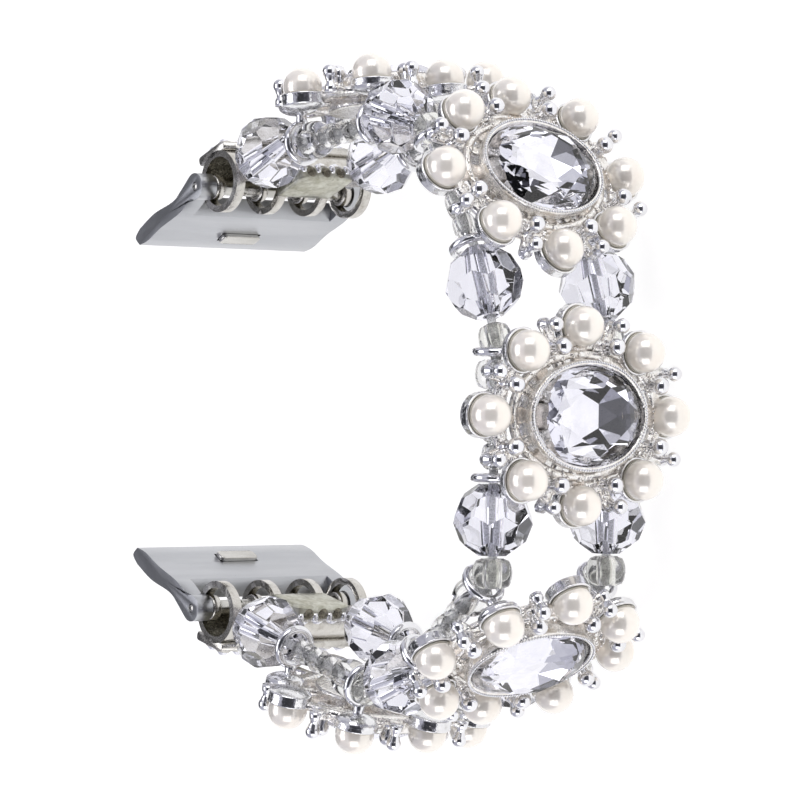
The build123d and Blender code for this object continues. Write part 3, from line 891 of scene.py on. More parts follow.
class Grains(NodeTool):
    """Grows rough grains on the upward faces of a mesh."""

    NAME = "grains_on_faces"
    LEAST_RISE = 0.25
    PLACE_SEED = 11
    SCALES = (("Min", (0.55, 0.55, 0.35)), ("Max", (1.25, 1.25, 0.9)), ("Seed", 5))
    INPUTS = (("Mesh", "Geometry"), ("Grain Radius", "Float"), ("Density", "Float"))

    def copies(self, bench: Bench, given: bpy.types.NodeOutputs) -> bpy.types.Node:
        """Sets grains of seeded sizes on the faces that look up.

        Args:
            bench: The tree.
            given: Its inputs: the mesh, and the grains' radius and density.

        Returns:
            The node that gives the grains.
        """
        facing = bench.add("ShaderNodeSeparateXYZ", Vector=bench.add("GeometryNodeInputNormal"))
        upward = bench.add("FunctionNodeCompare", {"data_type": "FLOAT", "operation": "GREATER_THAN"})
        bench.feed(upward, 0, facing.outputs["Z"])
        bench.feed(upward, 1, self.LEAST_RISE)
        points = bench.add("GeometryNodeDistributePointsOnFaces", Mesh=given["Mesh"], Selection=upward,
                           Density=given["Density"], Seed=self.PLACE_SEED)
        grain = bench.add("GeometryNodeMeshUVSphere", **self.GRAIN_FACES, Radius=given["Grain Radius"])
        size = bench.add("FunctionNodeRandomValue", {"data_type": "FLOAT_VECTOR"})
        for name, value in self.SCALES:
            bench.feed(size, name, value)
        return bench.add("GeometryNodeInstanceOnPoints", Points=points, Instance=grain.outputs[0],
                         Scale=size.outputs[0], Rotation=points.outputs["Rotation"])

    def grow(self, bed: Draft, radius: float, density: float, finish: Finish) -> bpy.types.Mesh:
        """Grows the grains on a piece.

        Args:
            bed: What the grains grow on, in millimetres.
            radius: A grain's radius.
            density: Grains on a square millimetre.
            finish: The finish that they have.

        Returns:
            A plain mesh of the grains, in millimetres.
        """
        return self.run(bed.mesh("bed", [], scale=1.0), finish, {"Grain Radius": radius, "Density": density})


# Placing pieces


@dataclass(frozen=True)
class Place:
    """A point of the loop and the direction of the band there: x in the loop's plane, turn in degrees."""

    x: float
    y: float
    turn: float

    def step(self, reach: float) -> Place:
        """The place reached along the band.

        Args:
            reach: How far to go, in millimetres.

        Returns:
            The new place.
        """
        turn = math.radians(self.turn)
        return Place(self.x + reach * math.cos(turn), self.y + reach * math.sin(turn), self.turn)

    def bent(self, turn: float) -> Place:
        """The same point with the band turned, in degrees."""
        return Place(self.x, self.y, self.turn + turn)

    def matrix(self, middle: float) -> Matrix:
        """Turns a piece's own directions into the frame's: along the band, across it, away from the wrist.

        Args:
            middle: Height of the band's middle, in millimetres.

        Returns:
            The matrix, in metres.
        """
        turn = math.radians(self.turn)
        c, s = math.cos(turn), math.sin(turn)
        return Matrix(((c, 0, s, self.x * MM), (s, 0, -c, self.y * MM), (0, 1, 0, middle * MM), (0, 0, 0, 1)))


@dataclass
class Loop:
    """The worn shape of the band, in millimetres and degrees, as the frame has it.

    The tables give, for each gap, the band's turn at its crystals and at its seed beads, the room between its
    beads and its seed beads' diameter. The places of all parts are worked out by lay.
    """

    pearl_level: float = 5.03
    eye_reach: float = 6.2
    row_offset: float = 7.45
    eye_bore: float = 3.0
    eye_wire: float = 0.9
    cord_r: float = 0.45
    bore: float = 0.65
    clearance: float = 0.15
    crystal_d: float = 8.0
    crystal_length: float = 7.1
    seed_length: float = 3.0
    tube_r: float = 3.35
    tube_gap: float = 0.35
    pin_offset: float = 1.6
    stone_top: float = 7.4
    at_crystal: dict[str, float] = field(default_factory=lambda: {
        "right_end": 15.3, "right_back": 22.0, "right_front": 9.5,
        "left_front": 0.0, "left_back": 21.0, "left_end": -1.2})
    at_seed: dict[str, float] = field(default_factory=lambda: {
        "right_back": 46.5, "right_front": 19.0, "left_front": 52.0, "left_back": 32.0})
    play: dict[str, float] = field(default_factory=lambda: {
        "right_end": 1.6, "right_back": 0.4, "right_front": 0.8,
        "left_front": 0.1, "left_back": 0.1, "left_end": 0.6})
    seed_d: dict[str, float] = field(default_factory=lambda: {
        "right_back": 3.4, "right_front": 3.4, "left_front": 4.0, "left_back": 3.4})
    middle: float = 0.0
    flowers: dict[str, Place] = field(default_factory=dict)
    crystals: dict[str, Place] = field(default_factory=dict)
    seeds: dict[str, Place] = field(default_factory=dict)
    tubes: dict[End, Place] = field(default_factory=dict)
    pins: dict[End, Place] = field(default_factory=dict)

    def seat(self, ball: float) -> float:
        """Distance from a ball's centre to the ring eye that it rests against.

        Args:
            ball: The ball's diameter.

        Returns:
            The distance.
        """
        reach = ball / 2 + self.eye_wire / 2 + self.clearance
        return math.sqrt(reach ** 2 - ((self.eye_bore + self.eye_wire) / 2) ** 2)

    def lay(self) -> None:
        """Finds the places of flowers, crystals, seed beads and tubes, from the front flower outwards."""
        low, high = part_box("front_flower_stone")
        self.middle = (low.z + high.z) / 2 / MM
        start = Place((low.x + high.x) / 2 / MM, low.y / MM + self.stone_top, 0.0)
        self.flowers["front_flower"] = start
        to_crystal = self.seat(self.crystal_d)
        for end in End:
            side, sign = end.name.lower(), end.value
            here = start
            for gap in ("front", "back"):
                name = f"{side}_{gap}"
                between = (self.crystal_length + self.seed_length) / 2 + self.clearance + self.play[name]
                to_seed = self.seat(self.seed_d[name])
                if end is End.RIGHT:
                    here = here.step(self.eye_reach + to_seed).bent(self.at_seed[name])
                    self.seeds[name] = here
                    here = here.step(between)
                    self.crystals[name] = here
                    here = here.bent(self.at_crystal[name]).step(to_crystal + self.eye_reach)
                else:
                    here = here.step(-self.eye_reach - to_crystal).bent(-self.at_crystal[name])
                    self.crystals[name] = here
                    here = here.step(-between)
                    self.seeds[name] = here
                    here = here.bent(-self.at_seed[name]).step(-to_seed - self.eye_reach)
                self.flowers[f"{name}_flower"] = here
            name = f"{side}_end"
            here = here.step(sign * (self.eye_reach + to_crystal + self.play[name]))
            here = here.bent(sign * self.at_crystal[name])
            self.crystals[name] = here
            here = here.step(sign * (self.crystal_d / 2 + self.tube_gap + self.tube_r))
            self.tubes[end] = here
            self.pins[end] = here.step(sign * self.pin_offset)


class Piece:
    """Shows finished meshes in the scene in place of their nodes; a piece that moves with one body is put on
    it.
    """

    @staticmethod
    def show(mesh: bpy.types.Mesh, name: str, body: str, slot: str, *nodes: str) -> None:
        """Adds a piece that moves with one body.

        Args:
            mesh: The finished mesh, in the frame's metres.
            name: The piece's name.
            body: The body that it rides on.
            slot: The record's material slot.
            nodes: The nodes that it stands for.
        """
        made = bring(name, mesh)
        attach(made, body)
        Piece.enter(made, slot, nodes)

    @staticmethod
    def bend(mesh: bpy.types.Mesh, name: str, bodies: tuple[str, str], ends: tuple[Vector, Vector], slot: str,
             *nodes: str) -> None:
        """Adds a piece that lies between two bodies, fixed in place in the frame.

        Args:
            mesh: The finished mesh, in the frame's metres.
            name: The piece's name.
            bodies: The bodies that it lies between; not used.
            ends: Where it starts to leave the first one and where it has reached the second one; not used.
            slot: The record's material slot.
            nodes: The nodes that it stands for.
        """
        made = bring(name, mesh)
        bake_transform(made)
        Piece.enter(made, slot, nodes)

    @staticmethod
    def enter(made: bpy.types.Object, slot: str, nodes: Sequence[str]) -> None:
        """States which nodes a piece stands for: hides them and logs them with its face count.

        Args:
            made: The piece.
            slot: The record's material slot; not used.
            nodes: The nodes that it stands for.
        """
        if nodes:
            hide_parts(*nodes)
        LOG.info("%s: %d faces for %s", made.name, len(made.data.polygons), ", ".join(nodes) or "no node")


def corners(point: Pair) -> list[Pair]:
    """The four mirror images of a point."""
    x, y = point
    return [(x, y), (-x, y), (-x, -y), (x, -y)]


@dataclass
class Flower:
    """One oval stone in its bezel, with eight pearls in cups, pegs between them and four ring eyes.

    Pairs are sizes or places along and across the band, and levels are measured from the cords outwards.
    """

    # Slots of the casting's, the stone's and the pearls' finishes
    PLAIN, CAST, NECK, CUP = range(4)
    GLASS, FOIL = range(2)
    LACQUER, BED = range(2)

    loop: Loop

    # The stone: its crown's tiers are shares of its size and height with a turn,
    # and its foiled back has a rim and a floor
    stone_half: Pair = (5.0, 7.0)
    girdle: float = 5.2
    girdle_height: float = 0.5
    crown: float = 1.7
    crown_tiers: tuple[Triple, ...] = ((0.82, 0.60, 0.1), (0.60, 1.0, 0.6))
    crown_rim: float = 0.985
    foil_rim: Pair = (0.93, 0.25)
    foil_turns: tuple[float, ...] = (30.0, 58.0, 84.0, 108.0, 133.0, 160.0)
    foil_floor: tuple[Triple, ...] = ((1.2, -1.5, 1.75), (2.6, 1.5, 1.75), (2.4, 4.2, 1.72),
                                      (0.9, 5.3, 1.66), (0.0, 2.4, 1.86), (0.0, -3.75, 1.14))

    # Bezel with its row of grains, which lies so far out and has grains of this radius and count
    bezel_base: float = 2.6
    bezel_top: float = 5.95
    milgrain: tuple[float, float, int] = (0.4, 0.15, 124)

    # The open web below: two oval hoops, each a bar of some width, height and corner radius,
    # and waisted necks
    web: float = 3.3
    web_height: float = 0.9
    hoop: Pair = (7.27, 10.41)
    hoop_bar: Triple = (1.5, 0.9, 0.4)
    gallery: Pair = (6.1, 8.45)
    gallery_bar: Triple = (0.9, 0.9, 0.35)
    gallery_lift: float = 0.25
    peg_neck: float = 1.35
    pearl_neck: float = 2.1
    neck_swell: tuple[float, ...] = (1.0, 1.0, 0.9, 0.82, 0.82, 0.92, 1.05)
    grain_radius: float = 0.3
    grain_density: float = 1.5

    # Pearls and their cups, whose pairs are the depth of the round part and its radius
    pearl_r: float = 2.05
    pearl_turn: Triple = (0.5, 0.5, 3.0)
    glue_r: float = 0.1
    cup_r: float = 2.45
    cup_rim: float = -20.0
    axis_cup: Pair = (1.9, 2.28)
    corner_cup: Pair = (1.35, 2.25)
    pearl_step: float = 0.35
    axis_reach: Pair = (8.9, 11.77)
    corner_reach: Pair = (6.38, 7.56)

    # Pegs, whose balls are given by radius and level
    inner_pegs: tuple[Pair, ...] = ((6.85, 3.5), (3.05, 9.45))
    outer_pegs: tuple[Pair, ...] = ((9.0, 4.35), (4.3, 11.4))
    inner_ball: Pair = (0.90, 5.7)
    outer_ball: Pair = (0.78, 5.55)
    shafts: Pair = (0.55, 0.45)

    # Back beads, given by radius and length
    bead_stop: float = 5.44
    end_bead: Pair = (2.0, 2.9)
    back_bead: Pair = (1.25, 2.6)
    bead_count: int = 3
    cord_overlap: float = 0.3

    def pearl_places(self) -> list[Vector]:
        """Centres of the eight pearls.

        Returns:
            The centres, those on the axes first.
        """
        low, high = self.loop.pearl_level - self.pearl_step, self.loop.pearl_level + self.pearl_step
        along, across = self.axis_reach
        flat = [(along, 0.0), (-along, 0.0), (0.0, across), (0.0, -across)]
        slanted = corners(self.corner_reach)
        return [Vector((x, y, low)) for x, y in flat] + [Vector((x, y, high)) for x, y in slanted]

    def oval(self, out: float, level: float) -> Ring:
        """A ring round the stone.

        Args:
            out: How far outside the stone's edge it lies.
            level: Its height.

        Returns:
            The ring.
        """
        along, across = self.stone_half
        return ellipse(along + out, across + out, level)

    def casting(self) -> Draft:
        """Bezel, hoops, cups, necks, pegs and ring eyes.

        Returns:
            The casting, in the flower's own directions.
        """
        draft = Draft()
        base, top, seat = self.bezel_base, self.bezel_top, self.girdle
        wall = [(-0.1, base), (0.38, base), (0.56, base + 0.16), (0.5, base + 0.5), (0.44, 4.1), (0.5, 4.7),
                (0.58, 5.2), (0.6, 5.6), (0.54, 5.82), (0.42, top - 0.03), (0.24, top), (0.1, top - 0.06),
                (0.03, 5.7), (0.02, seat), (-0.3, seat - 0.02), (-0.32, 4.0), (-0.4, base + 0.5),
                (-1.2, base + 0.46)]
        draft.loft([self.oval(out, level) for out, level in wall], self.CAST)
        out, grain, count = self.milgrain
        along, across = self.stone_half
        draft.absorb(Milgrain().lay((along + out, across + out), top, grain, count, SILVER))
        middle = self.web + self.web_height / 2
        lower = Draft()
        lower.sweep(ellipse(*self.hoop, middle), rounded_box(*self.hoop_bar), wrap=True)
        inner = ellipse(*self.gallery, middle + self.gallery_lift)
        lower.sweep(inner, rounded_box(*self.gallery_bar), wrap=True)
        for x, y in self.each(self.outer_pegs):
            self.neck(lower, Vector((x, y, middle)), self.peg_neck, 0.0, self.PLAIN)
        for place in self.pearl_places():
            foot = Vector((place.x, place.y, middle + 0.1))
            self.neck(draft, foot, self.pearl_neck, self.cup_r - 0.5, self.NECK)
        draft.absorb(Grains().grow(lower, self.grain_radius, self.grain_density, CAST_SILVER), self.CAST)
        draft.absorb(lower.mesh("lower", [], scale=1.0), self.CAST)
        self.cups(draft)
        self.pegs(draft)
        self.eyes(draft)
        return draft

    @staticmethod
    def each(points: Iterable[Pair]) -> list[Pair]:
        """All mirror images of some points."""
        return [image for point in points for image in corners(point)]

    def neck(self, draft: Draft, place: Vector, width: float, short: float, slot: int) -> None:
        """A bar from the bezel out to a cup or a peg, waisted half way.

        Args:
            draft: The casting.
            place: Where it leads.
            width: Its width.
            short: How far before that place it ends.
            slot: The finish that it has.
        """
        out = Vector((place.x, place.y, 0)).normalized()
        start = min(self.stone_half) * 0.85
        length = Vector((place.x, place.y, 0)).length - short
        last = len(self.neck_swell) - 1
        level = Vector((0, 0, place.z))
        path = [out * (start + (length - start) * i / last) + level for i in range(last + 1)]
        section = rounded_box(width, self.web_height * 0.95, 0.34)
        draft.sweep(path, section, slot=slot, swell=self.neck_swell)

    def cups(self, draft: Draft) -> None:
        """The eight round cups, each copied to its place.

        Args:
            draft: The casting.
        """
        places = self.pearl_places()
        for spots, (drop, girth) in ((places[:4], self.axis_cup), (places[4:], self.corner_cup)):
            cup = Draft()
            depth = self.cup_r - drop
            turns = [math.radians(4 + 86 * i / 9) for i in range(10)]
            wall = [(girth * math.sin(t), -drop - depth * math.cos(t)) for t in turns]
            lip = self.cup_r * math.sin(math.radians(self.cup_rim))
            wall += [(girth - 0.03, lip - 0.3), (girth + 0.05, lip - 0.17), (girth + 0.06, lip - 0.07),
                     (girth - 0.02, lip), (girth - 0.14, lip - 0.02)]
            wall += arc_profile(self.pearl_r + 0.03, self.cup_rim - 8, -86, 9)
            cup.spin(wall, Vector(), 32)
            draft.absorb(Scatter().spread(cup, spots, CUP_SILVER), self.CUP)

    def pegs(self, draft: Draft) -> None:
        """The sixteen ball-headed pegs, in two sizes.

        Args:
            draft: The casting.
        """
        for points, (ball, level), shaft in ((self.inner_pegs, self.inner_ball, self.shafts[0]),
                                             (self.outer_pegs, self.outer_ball, self.shafts[1])):
            peg = Draft()
            rise = level - self.web
            foot = [(shaft * 1.5, 0.1), (shaft * 1.45, 0.75), (shaft * 1.05, 1.0), (shaft, 1.3)]
            neck = [(shaft, rise - ball - 0.12), (shaft + 0.1, rise - ball + 0.02)]
            peg.spin(foot + neck + arc_profile(ball, -42, 88, 10, rise), Vector(), 16)
            places = [Vector((x, y, self.web)) for x, y in self.each(points)]
            draft.absorb(Scatter().spread(peg, places, SILVER))

    def eyes(self, draft: Draft) -> None:
        """The four ring eyes and the stems that carry them.

        Args:
            draft: The casting.
        """
        radius = (self.loop.eye_bore + self.loop.eye_wire) / 2
        eye = Draft()
        ring = [Vector((0, y, z)) for y, z in circle(radius, 40)]
        eye.sweep(ring, circle(self.loop.eye_wire / 2, 12), ALONG, wrap=True)
        stem = [(0.5, radius), (0.62, radius + 0.3), (0.56, radius + 0.8), (0.62, self.web),
                (0.8, self.web + 0.4)]
        eye.spin(stem, Vector(), 14)
        places = [Vector((x, y, 0)) for x, y in corners((self.loop.eye_reach, self.loop.row_offset))]
        draft.absorb(Scatter().spread(eye, places, SILVER))

    def stone(self) -> Draft:
        """The cut stone, and the foil that backs it.

        Returns:
            The stone, with its glass first and its foiled back second.
        """
        top = self.girdle + self.girdle_height
        along, across = self.stone_half
        tiers = [(self.crown_rim, level, 24, 0.5) for level in (top - 0.02, self.girdle + 0.03)]
        tiers += [(share, top + self.crown * rise, 8, first) for share, rise, first in self.crown_tiers]
        rings = [ellipse(share * along, share * across, level, count, first)
                 for share, level, count, first in tiers]
        share, drop = self.foil_rim
        along, across = along * share, across * share
        turns = [side * math.radians(turn) for turn in self.foil_turns for side in (-1, 1)]
        level = self.girdle - drop
        rings.append([Vector((along * math.sin(t), -across * math.cos(t), level)) for t in turns])
        rings.append([Vector((side * x, y, self.girdle - deep))
                      for x, y, deep in self.foil_floor for side in (-1, 1)])
        stone = Draft()
        stone.skin(*hull(rings), self.GLASS, smooth=False)
        for i, face in enumerate(stone.faces):
            if sum(stone.points[k].z for k in face) / len(face) < self.girdle - 0.2:
                stone.slots[i] = self.FOIL
        return stone

    def pearls(self) -> Draft:
        """The pearls and the glue that holds them.

        Returns:
            The pearls first and the glue second.
        """
        draft = Draft()
        pearl = Draft()
        profile = [(POLE, -self.pearl_r), *arc_profile(self.pearl_r, -82, 82, 22), (POLE, self.pearl_r)]
        pearl.spin(profile, Vector(), 36)
        draft.absorb(Scatter().spread(pearl, self.pearl_places(), PEARL, Vector(self.pearl_turn)),
                     self.LACQUER)
        glue = Draft()
        turn = math.radians(self.cup_rim - 2)
        reach, level = (self.pearl_r + 0.04) * math.cos(turn), (self.pearl_r + 0.04) * math.sin(turn)
        glue.sweep(ellipse(reach, reach, level, 32), circle(self.glue_r, 6), wrap=True)
        draft.absorb(Scatter().spread(glue, self.pearl_places(), GLUE), self.BED)
        return draft

    def beads(self) -> Draft:
        """The two rows of clear beads between the ring eyes.

        Returns:
            The beads.
        """
        draft = Draft()
        length = self.end_bead[1]
        count = self.bead_count
        pitch = (2 * self.bead_stop - length) / count
        first = [Vector((self.bead_stop - length / 2, side * self.loop.row_offset, 0)) for side in (-1, 1)]
        rest = [Vector((-self.bead_stop + pitch * (i + 0.5), side * self.loop.row_offset, 0))
                for side in (-1, 1) for i in range(count)]
        for (radius, length), places in ((self.end_bead, first), (self.back_bead, rest)):
            draft.absorb(Scatter().spread(glass_bead(radius, length, self.loop.bore), places, BEAD_GLASS))
        return draft

    def cords(self, start: float, stop: float) -> Draft:
        """The two straight runs of cord behind the flower.

        Args:
            start: Where they start, along the band.
            stop: Where they stop.

        Returns:
            The cords.
        """
        draft = Draft()
        for side in (-1, 1):
            across = side * self.loop.row_offset
            path = [Vector((start + (stop - start) * i / 8, across, 0)) for i in range(9)]
            draft.sweep(path, circle(self.loop.cord_r, 12))
        return draft

    def build(self) -> None:
        """Builds and dresses the five flowers."""
        reach = self.bead_stop + self.cord_overlap
        parts = (("casting", self.casting(), [SILVER, CAST_SILVER, NECK_SILVER, CUP_SILVER], "casting"),
                 ("stone", self.stone(), [STONE_GLASS, STONE_FOIL], "stone"),
                 ("pearls", self.pearls(), [PEARL, GLUE], "pearl"),
                 ("back_beads", self.beads(), [BEAD_GLASS], "clear_bead"),
                 ("cords", self.cords(-reach, reach), [CORD], "cord"))
        for name, place in self.loop.flowers.items():
            matrix = place.matrix(self.loop.middle)
            for part, draft, finishes, slot in parts:
                node = f"{name}_{part}"
                Piece.show(draft.mesh(node, finishes, matrix), f"{node}_piece", name, slot, node)


def glass_bead(radius: float, length: float, bore: float, end_share: float = 0.62) -> Draft:
    """A round bead with its bore along the band.

    Args:
        radius: Its largest radius.
        length: Its length.
        bore: Its bore's radius.
        end_share: Radius of its flat ends as a share of the largest.

    Returns:
        The bead.
    """
    bead = Draft()
    half = length / 2
    swell = [(radius * (end_share + (1 - end_share) * math.sqrt(max(1 - (t / 7) ** 2, 0))), half * t / 7)
             for t in range(-7, 8)]
    swell[0] = (radius * end_share, -half + 0.06)
    swell[-1] = (radius * end_share, half - 0.06)
    end = radius * end_share - 0.08
    profile = [(bore + 0.05, -half), (end, -half), *swell, (end, half), (bore + 0.05, half),
               (bore, half - 0.06), (bore, 0.0), (bore, -half + 0.06)]
    bead.spin(profile, Vector(), 28, axis=ALONG, wrap=True)
    return bead


@dataclass
class Strand:
    """What each gap carries: crystals, seed beads and the cords that run through them.

    The crystals' belt and crown facets are given by their lean in degrees and their share of the radius.
    """

    loop: Loop
    sides: int = 8
    belt: Pair = (20.0, 0.895)
    crown: Pair = (53.0, 0.915)
    countersink: float = 0.12
    overlap: float = 1.3

    def crystal(self) -> bpy.types.Mesh:
        """The faceted crystal with its bore along the band.

        Returns:
            Its mesh, in millimetres.
        """
        radius, half = self.loop.crystal_d / 2, self.loop.crystal_length / 2
        planes = [(Vector((sign, 0, 0)), half) for sign in (-1, 1)]
        step = TURN / self.sides
        rows = ((self.belt, 0.0, 1), (self.belt, 0.5, -1), (self.crown, 0.5, 1), (self.crown, 0.0, -1))
        for (tilt, share), first, sign in rows:
            lean = math.radians(sign * tilt)
            for i in range(self.sides):
                turn = (i + first) * step
                flat = math.cos(lean)
                normal = Vector((math.sin(lean), flat * math.cos(turn), flat * math.sin(turn)))
                planes.append((normal, radius * share))
        solid = Draft()
        solid.skin(*facet(planes, radius), smooth=False)
        bore, mouth = self.loop.bore, self.loop.bore + self.countersink
        drill = Draft()
        drill.spin([(mouth, -half - 0.5), (mouth, -half + 0.05), (bore, -half + 0.3), (bore, half - 0.3),
                    (mouth, half - 0.05), (mouth, half + 0.5)], Vector(), 20, axis=ALONG)
        return carve(solid, [drill], 0.035, 1, 12.0)

    def run(self, start: Vector, knee: Vector, stop: Vector, name: str) -> bpy.types.Mesh:
        """Both cords between two points, rounded at a knee between them.

        Args:
            start: Where they start, in the loop's plane.
            knee: Where the two directions meet.
            stop: Where they stop.
            name: The mesh's name.

        Returns:
            The mesh, in the frame's metres.
        """
        draft = Draft()
        count = 14
        for row in Row:
            rise = Vector((0, 0, self.loop.middle + row.value * self.loop.row_offset))
            path = []
            for i in range(count + 1):
                t = i / count
                path.append(rise + start * (1 - t) ** 2 + knee * 2 * t * (1 - t) + stop * t * t)
            draft.sweep(path, circle(self.loop.cord_r, 12))
        return draft.mesh(name, [CORD])

    def flat(self, place: Place, reach: float = 0.0) -> Vector:
        """A point of the loop's plane, some way along the band from a place."""
        there = place.step(reach)
        return Vector((there.x, there.y, 0))

    def lift(self, point: Vector) -> Vector:
        """A point of the loop's plane, in the frame's metres."""
        return Vector((point.x, point.y, self.loop.middle)) * MM

    def join(self, name: str, bodies: tuple[str, str], points: tuple[Vector, Vector, Vector],
             *nodes: str) -> None:
        """Cords that run between two bodies, fixed in place.

        Args:
            name: The piece's name.
            bodies: The two bodies.
            points: Start, knee and stop of the cords.
            nodes: The nodes that they stand for.
        """
        mesh = self.run(*points, name)
        Piece.bend(mesh, name, bodies, (self.lift(points[0]), self.lift(points[2])), "cord", *nodes)

    def gap(self, name: str, ring_flower: str, seed_flower: str | None, crystal_mesh: bpy.types.Mesh,
            sign: int) -> None:
        """Everything in one gap.

        Args:
            name: The gap's name.
            ring_flower: The flower whose ring eyes the crystals rest against.
            seed_flower: The flower whose ring eyes the seed beads rest against, if there are any.
            crystal_mesh: The crystal's mesh, in millimetres.
            sign: 1 where the crystals' ring eyes lie at the larger place along the band, else -1.
        """
        loop, link = self.loop, f"{name}_link"
        at = loop.crystals[name]
        for row in Row:
            node = f"{name}_crystal_{row.name.lower()}"
            spin = TURN * ((row.value + 2) * at.turn % 45) / 360
            place = at.matrix(loop.middle) @ Matrix.Translation((0, row.value * loop.row_offset * MM, 0))
            mesh = placed(crystal_mesh, node, place @ Matrix.Rotation(spin, 4, "X"), CRYSTAL)
            Piece.show(mesh, f"{node}_piece", node, "crystal", node)
        flower = loop.flowers[ring_flower]
        inside = self.flat(flower, -sign * (loop.eye_reach - self.overlap))
        mouth = self.flat(at, sign * (loop.crystal_length / 2 - self.overlap))
        knee = self.flat(at, sign * (loop.crystal_length / 2 + 0.35))
        self.join(f"{name}_ring_cords", (ring_flower, link), (inside, knee, mouth))
        if seed_flower is None:
            return
        seeds = loop.seeds[name]
        self.join(f"{name}_cords_piece", (link, f"{name}_seeds"),
                  (mouth, (mouth + self.flat(seeds)) / 2, self.flat(seeds)), f"{name}_cords")
        radius = loop.seed_d[name] / 2
        draft = Draft()
        places = [Vector((0, row.value * loop.row_offset, 0)) for row in Row]
        draft.absorb(Scatter().spread(glass_bead(radius, loop.seed_length, loop.bore), places, SEED_GLASS))
        node = f"{name}_seeds"
        mesh = draft.mesh(node, [SEED_GLASS], seeds.matrix(loop.middle))
        Piece.show(mesh, f"{node}_piece", node, "seed_bead", node)
        other = loop.flowers[seed_flower]
        far = self.flat(other, sign * (loop.eye_reach - self.overlap))
        knee = self.flat(seeds, -sign * 1.8)
        self.join(f"{name}_seed_cords", (node, seed_flower), (self.flat(seeds), knee, far))

    def build(self) -> None:
        """Builds and dresses all six gaps."""
        crystal_mesh = self.crystal()
        for name, ring_flower, seed_flower in (
                ("right_front", "right_front_flower", "front_flower"),
                ("right_back", "right_back_flower", "right_front_flower"),
                ("left_front", "front_flower", "left_front_flower"),
                ("left_back", "left_front_flower", "left_back_flower")):
            self.gap(name, ring_flower, seed_flower, crystal_mesh, 1)
        for end, flower in ((End.RIGHT, "right_back_flower"), (End.LEFT, "left_back_flower")):
            name = f"{end.name.lower()}_end"
            self.gap(name, flower, None, crystal_mesh, -end.value)
            at, tube = self.loop.crystals[name], self.loop.tubes[end]
            wall = self.flat(tube, -end.value * (self.loop.tube_r - 0.6))
            mouth = self.flat(at, -end.value * (self.loop.crystal_length / 2 - self.overlap))
            self.join(f"{name}_cords_piece", (f"{name}_link", f"{end.name.lower()}_connector"),
                      (mouth, (mouth + wall) / 2, wall), f"{name}_cords")


